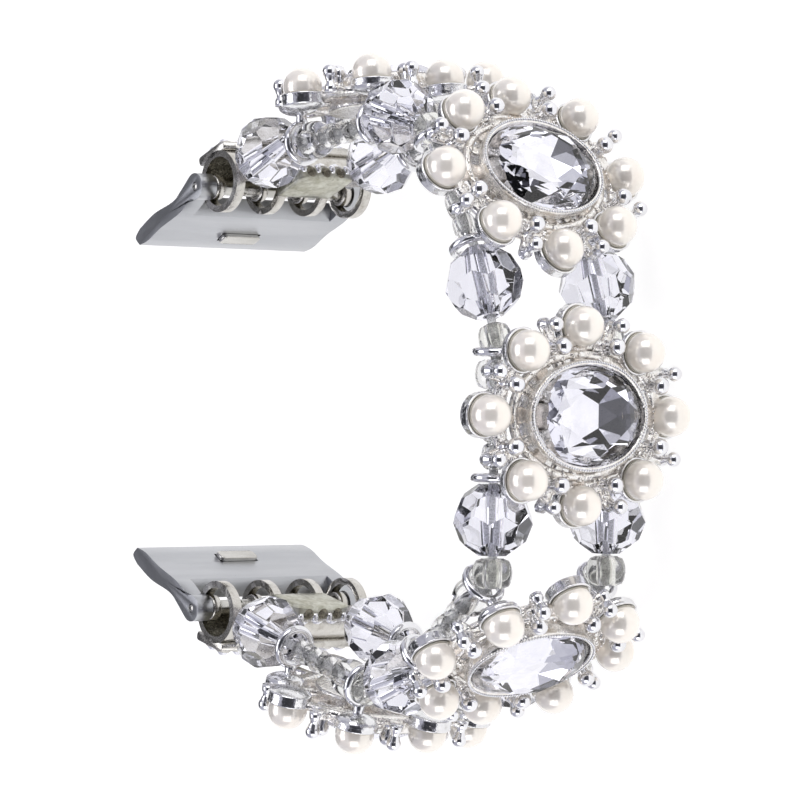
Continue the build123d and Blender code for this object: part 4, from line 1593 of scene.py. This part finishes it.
@dataclass
class Connector:
    """The slotted tube at each end, with its stone-set plate and tongue, and the knots inside it.

    It is laid out from the tube's axis, with the band's end before it. The mirrored one serves the left end.
    """

    # Slots of its finishes; the second one is the painted shade of the tube's inside and the tongue's hollows
    OUTSIDE, INSIDE, TONGUE, CLAW = range(4)

    loop: Loop

    # The tube with its end and middle ribs, the windows' turns in degrees, and the knuckles that hold the pin
    width: float = 18.2
    outer: float = 3.35
    inner: float = 2.65
    ribs: Pair = (1.1, 1.0)
    windows: int = 3
    window_turns: Pair = (202.5, 367.5)
    knuckle: Pair = (1.35, 0.85)

    # The plate's place and size, and the tongue's widths below and above, its level, its thickness
    # and its root
    plate: tuple[float, float, float, float] = (0.3, 3.4, 5.0, 1.0)
    tongue_reach: float = 7.0
    tongue_widths: Pair = (7.2, 6.2)
    tongue: Pair = (-1.8, 1.5)
    tongue_root: float = 2.3
    gallery: float = 0.62
    hole: float = 0.65

    # Rhinestones, with the rows on the plate, and the knots' place and radius
    stone_r: float = 0.8
    stone_pitch: float = 1.95
    rows: tuple[int, int] = (2, 9)
    knot: Pair = (-1.65, 0.85)
    knot_cord_r: float = 0.32
    tail_r: float = 0.43
    stone_turn: Triple = (0.12, 0.12, 3.0)

    def rib_places(self) -> list[Pair]:
        """Where the ribs lie across the band.

        Returns:
            The middle and width of each rib.
        """
        end, middle = self.ribs
        step = (self.width - 2 * end - (self.windows - 1) * middle) / self.windows + middle
        last = (self.width - end) / 2
        return [(-last, end), (-step / 2, middle), (step / 2, middle), (last, end)]

    def shell(self) -> Draft:
        """The tube's wall with its windows.

        Returns:
            The wall, as one closed skin.
        """
        count = FINE // 2
        cuts: list[float] = []
        for middle, width in self.rib_places():
            cuts += [middle - width / 2, middle + width / 2]
        low, high = (round(turn / 360 * count) for turn in self.window_turns)
        open_cells = {(band, k % count) for band in (1, 3, 5) for k in range(low, high)}
        kept = {(band, k) for band in range(7) for k in range(count)} - open_cells
        points = [Vector((x, y, z)) for radius in (self.outer, self.inner) for y in cuts
                  for x, z in circle(radius, count)]

        def corner(layer: int, line: int, k: int) -> int:
            """Place of a corner in the list of points."""
            return (layer * len(cuts) + line) * count + k % count

        faces: list[tuple[int, ...]] = []
        for band, k in kept:
            around = ((band, k), (band, k + 1), (band + 1, k + 1), (band + 1, k))
            for layer in (0, 1):
                faces.append(tuple(corner(layer, *spot) for spot in around))
            beside = ((band - 1, k), (band, (k + 1) % count), (band + 1, k), (band, (k - 1) % count))
            edges = ((0, 1), (1, 2), (2, 3), (3, 0))
            for other, (first, second) in zip(beside, edges):
                if other not in kept:
                    start, stop = around[first], around[second]
                    faces.append((corner(0, *start), corner(0, *stop), corner(1, *stop), corner(1, *start)))
        draft = Draft()
        draft.skin(points, faces)
        return draft

    def bar(self, draft: Draft, outline: Sequence[Pair], across: float) -> None:
        """A straight bar across the band with slightly drawn-in ends.

        Args:
            draft: The piece that gets it.
            outline: Its outline along the band and outwards.
            across: Half its length.
        """
        middle_x = sum(x for x, _ in outline) / len(outline)
        middle_z = sum(z for _, z in outline) / len(outline)
        rings = []
        for y, scale in ((-across, 0.93), (-across + 0.12, 1.0), (across - 0.12, 1.0), (across, 0.93)):
            rings.append([Vector((middle_x + (x - middle_x) * scale, y, middle_z + (z - middle_z) * scale))
                          for x, z in outline])
        draft.loft(rings)

    def body(self) -> Draft:
        """Tube, plate, tongue and knuckles.

        Returns:
            The connector, in its own directions.
        """
        holes = []
        for row in Row:
            drill = Draft()
            drill.spin([(self.hole, -self.outer - 0.6), (self.hole, -self.inner + 0.5)],
                       Vector((0, row.value * self.loop.row_offset, 0)), 16, axis=ALONG)
            holes.append(drill)
        draft = Draft()
        draft.absorb(carve(self.shell(), holes, 0.1, 2, 40.0), self.OUTSIDE)
        # Painted shade: the tube's inner wall gets the near-black finish
        self.paint_tube_shade(draft)
        x, z, length, height = self.plate
        outline = [(x + u, z + v) for u, v in rounded_box(length, height, 0.38)]
        self.bar(draft, outline, self.width / 2)
        level, thick = self.tongue
        reach, back = self.tongue_reach, self.tongue_root
        low, high = (width / 2 for width in self.tongue_widths)
        section = [(-low, -thick / 2), (low, -thick / 2), (high, thick / 2), (-high, thick / 2)]
        rings = []
        outline = self.rounded(section, 0.3)
        for along, scale in ((-reach, 0.9), (-reach + 0.25, 1.0), (-back - 0.6, 1.0), (-back, 1.0)):
            rings.append([Vector((along, y * scale, level + v * scale)) for y, v in outline])
        draft.loft(rings, self.TONGUE)
        self.claws(draft)
        for middle, width in self.rib_places():
            outer, bore = self.knuckle
            half = width / 2
            profile = [(bore, -half), (outer - 0.1, -half), (outer, -half + 0.1), (outer, half - 0.1),
                       (outer - 0.1, half), (bore, half)]
            draft.spin(profile, Vector((self.loop.pin_offset, middle, 0)), 28, axis=ACROSS, wrap=True)
        settings = Draft()
        rim = [(-0.14, -0.05), (0.06, -0.05), (0.05, 0.2), (-0.02, 0.3), (-0.14, 0.22)]
        settings.spin([(self.stone_r + out, level) for out, level in rim], Vector(), 20, wrap=True)
        draft.absorb(Scatter().spread(settings, self.stone_places(), NICKEL))
        return draft

    def claws(self, draft: Draft) -> None:
        """The hollows and claws along the tongue's outer edge, below its rhinestones. The hollows are flat
        discs of near-black metal that paint the shade there.

        Args:
            draft: The connector.
        """
        level, thick = self.tongue
        top = level + thick / 2
        hollow, claw = Draft(), Draft()
        hollow.spin([(POLE, -0.06), (0.5, -0.06), (0.62, 0.0), (0.5, 0.07), (POLE, 0.08)], Vector(), 16,
                    axis=-ALONG)
        claw.spin([(POLE, -0.5), (0.24, -0.44), (0.36, -0.1), (0.34, 0.3), (0.2, 0.5), (POLE, 0.55)],
                  Vector(), 12)
        front = -self.tongue_reach
        spots = [Vector((front, (k - 1) * self.stone_pitch, top - self.gallery)) for k in range(3)]
        # Painted shade: flat near-black discs on the tongue's front edge stand in for its hollows
        draft.absorb(Scatter().spread(hollow, spots, TUBE_INSIDE), self.INSIDE)
        spots = [Vector((front + 0.12, (k - 1.5) * self.stone_pitch * 0.98, top - 0.25)) for k in range(4)]
        draft.absorb(Scatter().spread(claw, spots, NICKEL), self.CLAW)

    def paint_tube_shade(self, draft: Draft) -> None:
        """Gives the tube's inner wall the near-black finish that paints the shade inside the tube.

        Args:
            draft: The tube so far.
        """
        for i, face in enumerate(draft.faces):
            middle = sum((draft.points[k] for k in face), Vector()) / len(face)
            if math.hypot(middle.x, middle.z) < self.inner + 0.06:
                draft.slots[i] = self.INSIDE

    @staticmethod
    def rounded(section: Sequence[Pair], radius: float) -> list[Pair]:
        """A four-sided section with its corners cut in two steps.

        Args:
            section: The corners, in order.
            radius: How far from a corner the cuts start.

        Returns:
            The new outline.
        """
        outline = []
        for i, (x, y) in enumerate(section):
            corner = Vector((x, y))
            before, after = Vector(section[i - 1]), Vector(section[(i + 1) % len(section)])
            to_before, to_after = (before - corner).normalized(), (after - corner).normalized()
            for point in (corner + to_before * radius, corner + (to_before + to_after) * radius * 0.29,
                          corner + to_after * radius):
                outline.append((point.x, point.y))
        return outline

    def stone_places(self) -> list[Vector]:
        """Where the rhinestones sit.

        Returns:
            The places on the plate, and those on the tongue.
        """
        x, z, _, height = self.plate
        rows, columns = self.rows
        top = z + height / 2
        pitch = self.stone_pitch
        places = [Vector((x + (i - (rows - 1) / 2) * pitch, (k - (columns - 1) / 2) * pitch, top))
                  for i in range(rows) for k in range(columns)]
        level, thick = self.tongue
        front = -self.tongue_reach + self.stone_r + 0.15
        return places + [Vector((front, k * pitch, level + thick / 2)) for k in (-1, 0, 1)]

    def rhinestones(self) -> Draft:
        """The faceted rhinestones.

        Returns:
            The stones.
        """
        gem = Draft()
        girdle = self.stone_r - 0.03
        tiers = ((girdle, 0.02, 0.0), (girdle, 0.26, 0.0), (self.stone_r * 0.82, 0.42, 0.5),
                 (self.stone_r * 0.5, 0.72, 0.0))
        rings = [ellipse(radius, radius, level, 8, first) for radius, level, first in tiers]
        gem.skin(*hull(rings), smooth=False)
        draft = Draft()
        stones = Scatter().spread(gem, self.stone_places(), RHINESTONE, Vector(self.stone_turn))
        draft.absorb(stones, smooth=False)
        return draft

    def knots(self) -> Draft:
        """The knots behind the front wall, each one strand wound round itself.

        Returns:
            The knots and their tails.
        """
        along, radius = self.knot
        draft = Draft()
        scale = (radius - self.knot_cord_r) / 3
        for row in Row:
            centre = Vector((along, row.value * self.loop.row_offset, 0))
            path = []
            for i in range(60):
                t = TURN * i / 60
                loops = (-math.sin(3 * t) * 1.6, math.sin(t) + 2 * math.sin(2 * t),
                         math.cos(t) - 2 * math.cos(2 * t))
                path.append(centre + scale * Vector(loops))
            draft.sweep(path, circle(self.knot_cord_r, 8), Vector((1, 0.01, 0.02)), wrap=True)
            tail = [centre + Vector((-1.6 + 0.2 * i, 0, 0)) for i in range(9)]
            draft.sweep(tail, circle(self.tail_r, 10))
        return draft

    def build(self) -> None:
        """Builds and dresses both connectors."""
        parts = (("connector", self.body(), [NICKEL, TUBE_INSIDE, OLD_NICKEL, SILVER], "connector"),
                 ("rhinestones", self.rhinestones(), [RHINESTONE], "rhinestone"),
                 ("cord_knots", self.knots(), [CORD], "cord"))
        for end in End:
            side = end.name.lower()
            matrix = self.loop.tubes[end].matrix(self.loop.middle)
            for part, draft, finishes, slot in parts:
                node = f"{side}_{part}"
                turned = draft if end is End.RIGHT else draft.mirrored()
                mesh = turned.mesh(node, finishes, matrix)
                Piece.show(mesh, f"{node}_piece", f"{side}_connector", slot, node)


@dataclass
class LugAdapter:
    """The adapter that slides into the watch's slot, the pin that it hinges on and its latch tab.

    It is laid out from the pin. The points of its outline and the latch's place are shares of its length.
    """

    loop: Loop
    width: float = 22.6
    horn_inner: float = 9.3
    horn_r: float = 1.45
    horn_turns: Pair = (40.0, 155.0)
    room: float = 3.0
    length: float = 12.5
    outer: tuple[Pair, ...] = ((-0.104, 0.288), (-0.216, 0.60), (-0.344, 0.824))
    tip: Pair = (-0.424, 0.888)
    inner: tuple[Pair, ...] = ((-0.488, 0.824), (-0.448, 0.688), (-0.344, 0.496), (-0.224, 0.216))
    latch_place: Pair = (-0.398, 0.592)
    latch_lean: float = 28.4
    latch_size: Triple = (5.0, 1.5, 1.0)
    latch_proud: float = 0.45
    pin_r: float = 0.8
    pin_end_r: float = 0.45

    def outline(self) -> list[Pair]:
        """The adapter's outline, from the pin: outwards, and towards the watch head.

        Returns:
            The outline, in order.
        """
        def horn(turn: float) -> Vector:
            """A point on the horn's round end."""
            t = math.radians(turn)
            return Vector((self.horn_r * math.cos(t), self.horn_r * math.sin(t), 0))

        def spot(shares: Pair) -> Vector:
            """A point given as shares of the adapter's length."""
            return Vector((shares[0] * self.length, shares[1] * self.length, 0))

        start, stop = self.horn_turns
        outer = smooth_path([horn(start)] + [spot(p) for p in self.outer], 7)
        end = smooth_path([spot(self.outer[-1]), spot(self.tip), spot(self.inner[0])], 5)[1:-1]
        inner = smooth_path([spot(p) for p in self.inner] + [horn(stop)], 7)
        round_end = [horn(stop + (start + 360 - stop) * i / 14) for i in range(1, 14)]
        return [(p.x, p.y) for p in outer + end + inner + round_end]

    def prism(self, outline: Sequence[Pair], half: float) -> Draft:
        """An upright block with a given outline.

        Args:
            outline: The outline.
            half: Half its height.

        Returns:
            The block.
        """
        draft = Draft()
        draft.loft([[Vector((x, y, z)) for x, y in outline] for z in (-half, half)])
        return draft

    def box(self, matrix: Matrix, size: Vector) -> Draft:
        """A block for cutting, in its own directions.

        Args:
            matrix: Its place.
            size: Its whole size.

        Returns:
            The block.
        """
        draft = Draft()
        outline = rounded_box(size.x, size.y, 0.1)
        draft.loft([[matrix @ Vector((x, y, z)) for x, y in outline] for z in (-size.z / 2, size.z / 2)])
        return draft

    def latch_matrix(self) -> Matrix:
        """Place of the latch: z out of the adapter's face, x across the band.

        Returns:
            The matrix, in millimetres from the pin.
        """
        turn = math.radians(180 + self.latch_lean)
        out = Vector((math.cos(turn), math.sin(turn), 0))
        side = out.cross(UP)
        place = Vector((self.latch_place[0] * self.length, self.latch_place[1] * self.length, 0))
        turned = Matrix((UP, side, out)).transposed().to_4x4()
        return Matrix.Translation(place) @ turned

    def adapter(self) -> Draft:
        """The adapter with its horns, pin holes and latch pocket.

        Returns:
            The adapter.
        """
        block = self.prism(self.outline(), self.width / 2)
        reach = self.length
        middle = Matrix.Translation((0, self.room - reach / 2, 0))
        room = self.box(middle, Vector((reach, reach, 2 * self.horn_inner)))
        wide, long, deep = self.latch_size
        hollow = Vector((wide + 0.1, long + 0.1, 2 * (deep - self.latch_proud + 0.55)))
        pocket = self.box(self.latch_matrix(), hollow)
        bore = Draft()
        radius = self.pin_end_r + 0.03
        bore.spin([(radius, -self.width), (radius, self.width)], Vector(), 18)
        draft = Draft()
        draft.absorb(carve(block, [room, pocket, bore], 0.16, 3, 35.0))
        return draft

    def latch(self) -> Draft:
        """The latch tab with a finger groove.

        Returns:
            The tab.
        """
        wide, long, deep = self.latch_size
        matrix = self.latch_matrix()
        draft = Draft()
        top = self.latch_proud
        outline = rounded_box(wide, long, long * 0.3)
        rings = []
        for level, scale in ((top - deep, 0.98), (0.0, 1.0), (top - 0.16, 1.0), (top - 0.04, 0.95),
                             (top, 0.86), (top - 0.05, 0.7), (top - 0.06, 0.3)):
            stretch = scale * 0.5 + 0.5 if scale > 0.8 else scale
            rings.append([matrix @ Vector((x * stretch, y * scale, level)) for x, y in outline])
        draft.loft(rings)
        return draft

    def pin(self) -> Draft:
        """The spring pin with its thin ends and collars.

        Returns:
            The pin.
        """
        half, reach = self.horn_inner - 0.02, self.width / 2 - 0.05
        r, end = self.pin_r, self.pin_end_r
        groove = half * 0.5
        half_profile = [(r, 0.0), (r, groove), (r * 0.9, groove + 0.1), (r, groove + 0.2), (r, half - 0.12),
                        (r - 0.12, half), (end, half), (end, reach - 0.15), (end - 0.13, reach)]
        profile = [(radius, -height) for radius, height in reversed(half_profile[1:])] + half_profile
        draft = Draft()
        draft.spin(profile, Vector(), 24)
        return draft

    def build(self) -> None:
        """Builds and dresses both adapters."""
        parts = (("adapter", self.adapter(), STEEL, "adapter", "adapter"),
                 ("pin", self.pin(), PIN_STEEL, "pin", "adapter"),
                 ("latch", self.latch(), PIN_STEEL, "pin", "latch"))
        for end in End:
            side = end.name.lower()
            pin = self.loop.pins[end]
            matrix = Matrix.Translation((pin.x * MM, pin.y * MM, self.loop.middle * MM))
            for part, draft, finish, slot, body in parts:
                node = f"{side}_{part}"
                turned = draft if end is End.RIGHT else draft.mirrored()
                Piece.show(turned.mesh(node, [finish], matrix), f"{node}_piece", f"{side}_{body}", slot, node)


@dataclass(frozen=True)
class SoftBox:
    """A soft lamp: its angles off the camera's direction and round it, its size in metres and its glow."""

    name: str
    angle: float
    toward: float
    wide: float
    tall: float
    glow: float


@dataclass
class Studio:
    """Floor, light and camera.

    The camera's angles are in degrees. The opening's half angles and the gap's place and size are those of
    dark parts in the pale surroundings, which the stones and the metal reflect.
    """

    loop: Loop
    azimuth: float = 38.123
    elevation: float = 0.181
    roll: float = 0.791
    distance: float = 400.0
    focal_pixels: float = 3821.66
    image_pixels: float = 800.0
    sensor: float = 36.0
    aim: float = 28.0
    aside: Pair = (-1.009, 1.274)
    opening: Pair = (34.0, 30.0)
    dark: Colour = (0.045, 0.046, 0.052)
    dusk: Colour = (0.105, 0.105, 0.125)
    cloud_edges: Pair = (0.4, 0.6)
    cloud_sizes: Pair = (1.3, 3.2)
    gap: Triple = (0.46, 0.36, 0.33)
    strip: float = 0.035
    shade: Colour = (0.45, 0.45, 0.53)
    light: Colour = (0.68, 0.68, 0.74)
    floor_reach: float = 3000.0
    lamp_distance: float = 0.7
    boxes: tuple[SoftBox, ...] = (
        SoftBox("upper_box", 52.0, 90.0, 0.5, 0.42, 2.0), SoftBox("lower_box", 52.0, -90.0, 0.5, 0.42, 1.8),
        SoftBox("left_box", 72.0, 180.0, 0.34, 0.6, 2.2), SoftBox("right_box", 52.0, 0.0, 0.38, 0.6, 0.85))

    def directions(self) -> tuple[Vector, Vector, Vector]:
        """The photograph's own directions.

        Returns:
            To the right, upwards and towards the camera.
        """
        azimuth, elevation, roll = (math.radians(v) for v in (self.azimuth, self.elevation, self.roll))
        level = math.cos(azimuth) * -ACROSS + math.sin(azimuth) * UP
        back = math.cos(elevation) * level + math.sin(elevation) * ALONG
        up = (ALONG - back * ALONG.dot(back)).normalized()
        right = up.cross(back)
        c, s = math.cos(roll), math.sin(roll)
        return c * right + s * up, c * up - s * right, back

    def camera(self) -> None:
        """Sets the camera at the photograph's viewing angle, with the loop's +X side up."""
        right, up, back = self.directions()
        start = self.loop.flowers["front_flower"]
        zero = Vector((start.x, start.y - self.loop.pearl_level, self.loop.middle))
        aim = zero + Vector((0, self.aim, 0)) + right * self.aside[0] + up * self.aside[1]
        data = bpy.data.cameras.new("camera")
        data.sensor_width = self.sensor
        data.lens = self.focal_pixels / self.image_pixels * self.sensor
        data.clip_start, data.clip_end = 0.01, 10.0
        camera = bpy.data.objects.new("camera", data)
        turn = Matrix((right, up, back)).transposed().to_4x4()
        camera.matrix_world = Matrix.Translation((aim + back * self.distance) * MM) @ turn
        bpy.context.scene.collection.objects.link(camera)
        bpy.context.scene.camera = camera

    def floor(self) -> None:
        """Lays a wide pale floor under the band."""
        draft = Draft()
        size = self.floor_reach
        outline = ((-size, -size), (size, -size), (size, size), (-size, size))
        draft.skin([(x, y, z) for z in (0, -5) for x, y in outline],
                   [(0, 1, 2, 3), (4, 5, 6, 7), (0, 1, 5, 4), (1, 2, 6, 5), (2, 3, 7, 6), (3, 0, 4, 7)],
                   smooth=False)
        bring("floor", draft.mesh("floor", [FLOOR]))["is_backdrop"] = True

    def surroundings(self) -> None:
        """Makes pale surroundings with a dark opening in front and a dark gap high up behind."""
        world = bpy.data.worlds.new("surroundings")
        world.use_nodes = True
        bpy.context.scene.world = world
        bench = Bench(world.node_tree)
        place = bench.add("ShaderNodeTexCoord").outputs["Generated"]
        across, above, ahead = (self.along(bench, place, direction) for direction in self.directions())
        wide, tall = (math.tan(math.radians(angle)) for angle in self.opening)
        sides = bench.math("DIVIDE", bench.math("ABSOLUTE", across), wide)
        ends = bench.math("DIVIDE", bench.math("ABSOLUTE", above), tall)
        off = bench.math("DIVIDE", bench.math("MAXIMUM", sides, ends), bench.math("MAXIMUM", ahead, 0.01))
        clear = bench.ramp(off, (0.85, 1.15))
        pale, deep = self.cloud_sizes
        share = bench.ramp(bench.noise(place, pale, (1.0, 0.5)), self.cloud_edges)
        tint = bench.mix(share, self.shade, self.light)
        share = bench.ramp(bench.noise(place, deep, (0.0, 0.5)), self.cloud_edges)
        depth = bench.mix(share, self.dark, self.dusk)
        room = bench.mix(clear, depth, tint)
        with_gap = bench.mix(self.gap_share(bench, place), room, self.dark)
        bench.feed(world.node_tree.nodes["Background"], "Color", with_gap)

    def gap_share(self, bench: Bench, place: bpy.types.NodeSocket) -> bpy.types.Node:
        """Where the dark gap behind the band is, with a bright strip across it.

        Args:
            bench: The tree of the surroundings.
            place: The direction looked in.

        Returns:
            A node that gives one inside the gap and nought outside it.
        """
        half_width, rise, half_height = self.gap
        split = bench.add("ShaderNodeSeparateXYZ", Vector=place)
        sides = bench.math("DIVIDE", bench.math("ABSOLUTE", split.outputs[0]), half_width)
        height = bench.math("ABSOLUTE", bench.math("SUBTRACT", split.outputs[2], rise))
        off = bench.math("MAXIMUM", sides, bench.math("DIVIDE", height, half_height))
        inside = bench.ramp(off, (1.08, 0.92))
        back = bench.ramp(split.outputs[1], (0.0, 0.1))
        clear = bench.ramp(height, (self.strip, self.strip * 1.6))
        return bench.math("MULTIPLY", bench.math("MULTIPLY", inside, back), clear)

    @staticmethod
    def along(bench: Bench, place: bpy.types.NodeSocket, direction: Vector) -> bpy.types.Node:
        """A node that gives how far a place lies along a direction."""
        dot = bench.add("ShaderNodeVectorMath", {"operation": "DOT_PRODUCT"})
        bench.feed(dot, 0, place)
        bench.feed(dot, 1, tuple(direction))
        return dot

    def lamps(self) -> None:
        """Hangs the soft boxes above, below and beside the opening."""
        right, up, back = self.directions()
        for box in self.boxes:
            turn, lean = math.radians(box.toward), math.radians(box.angle)
            side = right * math.cos(turn) + up * math.sin(turn)
            spot = (back * math.cos(lean) + side * math.sin(lean)).normalized()
            data = bpy.data.lights.new(box.name, "AREA")
            data.shape = "RECTANGLE"
            data.size, data.size_y = box.wide, box.tall
            data.energy = box.glow * math.pi * box.wide * box.tall
            lamp = bpy.data.objects.new(box.name, data)
            wide_way = up.cross(spot).normalized()
            facing = Matrix((wide_way, spot.cross(wide_way), spot)).transposed().to_4x4()
            centre = Vector((0, 0, self.loop.middle * MM))
            lamp.matrix_world = Matrix.Translation(centre + spot * self.lamp_distance) @ facing
            bpy.context.scene.collection.objects.link(lamp)

    def build(self) -> None:
        """Builds the studio."""
        self.camera()
        self.floor()
        self.surroundings()
        self.lamps()
        bpy.context.scene.view_settings.view_transform = "Standard"


def main() -> None:
    """Builds every sub-assembly around the frame, in order."""
    logging.basicConfig(level=logging.INFO, format="%(asctime)s %(message)s")
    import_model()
    solid_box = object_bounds()
    loop = Loop()
    loop.lay()
    Studio(loop).build()
    Flower(loop).build()
    Strand(loop).build()
    Connector(loop).build()
    LugAdapter(loop).build()
    {"cad": plain(solid_box), "visual": plain(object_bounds())}


def plain(value: object) -> object:
    """Vectors and tuples as plain lists of numbers."""
    if isinstance(value, (int, float)):
        return float(value)
    return [plain(item) for item in value]


if __name__ == "__main__":
    main()
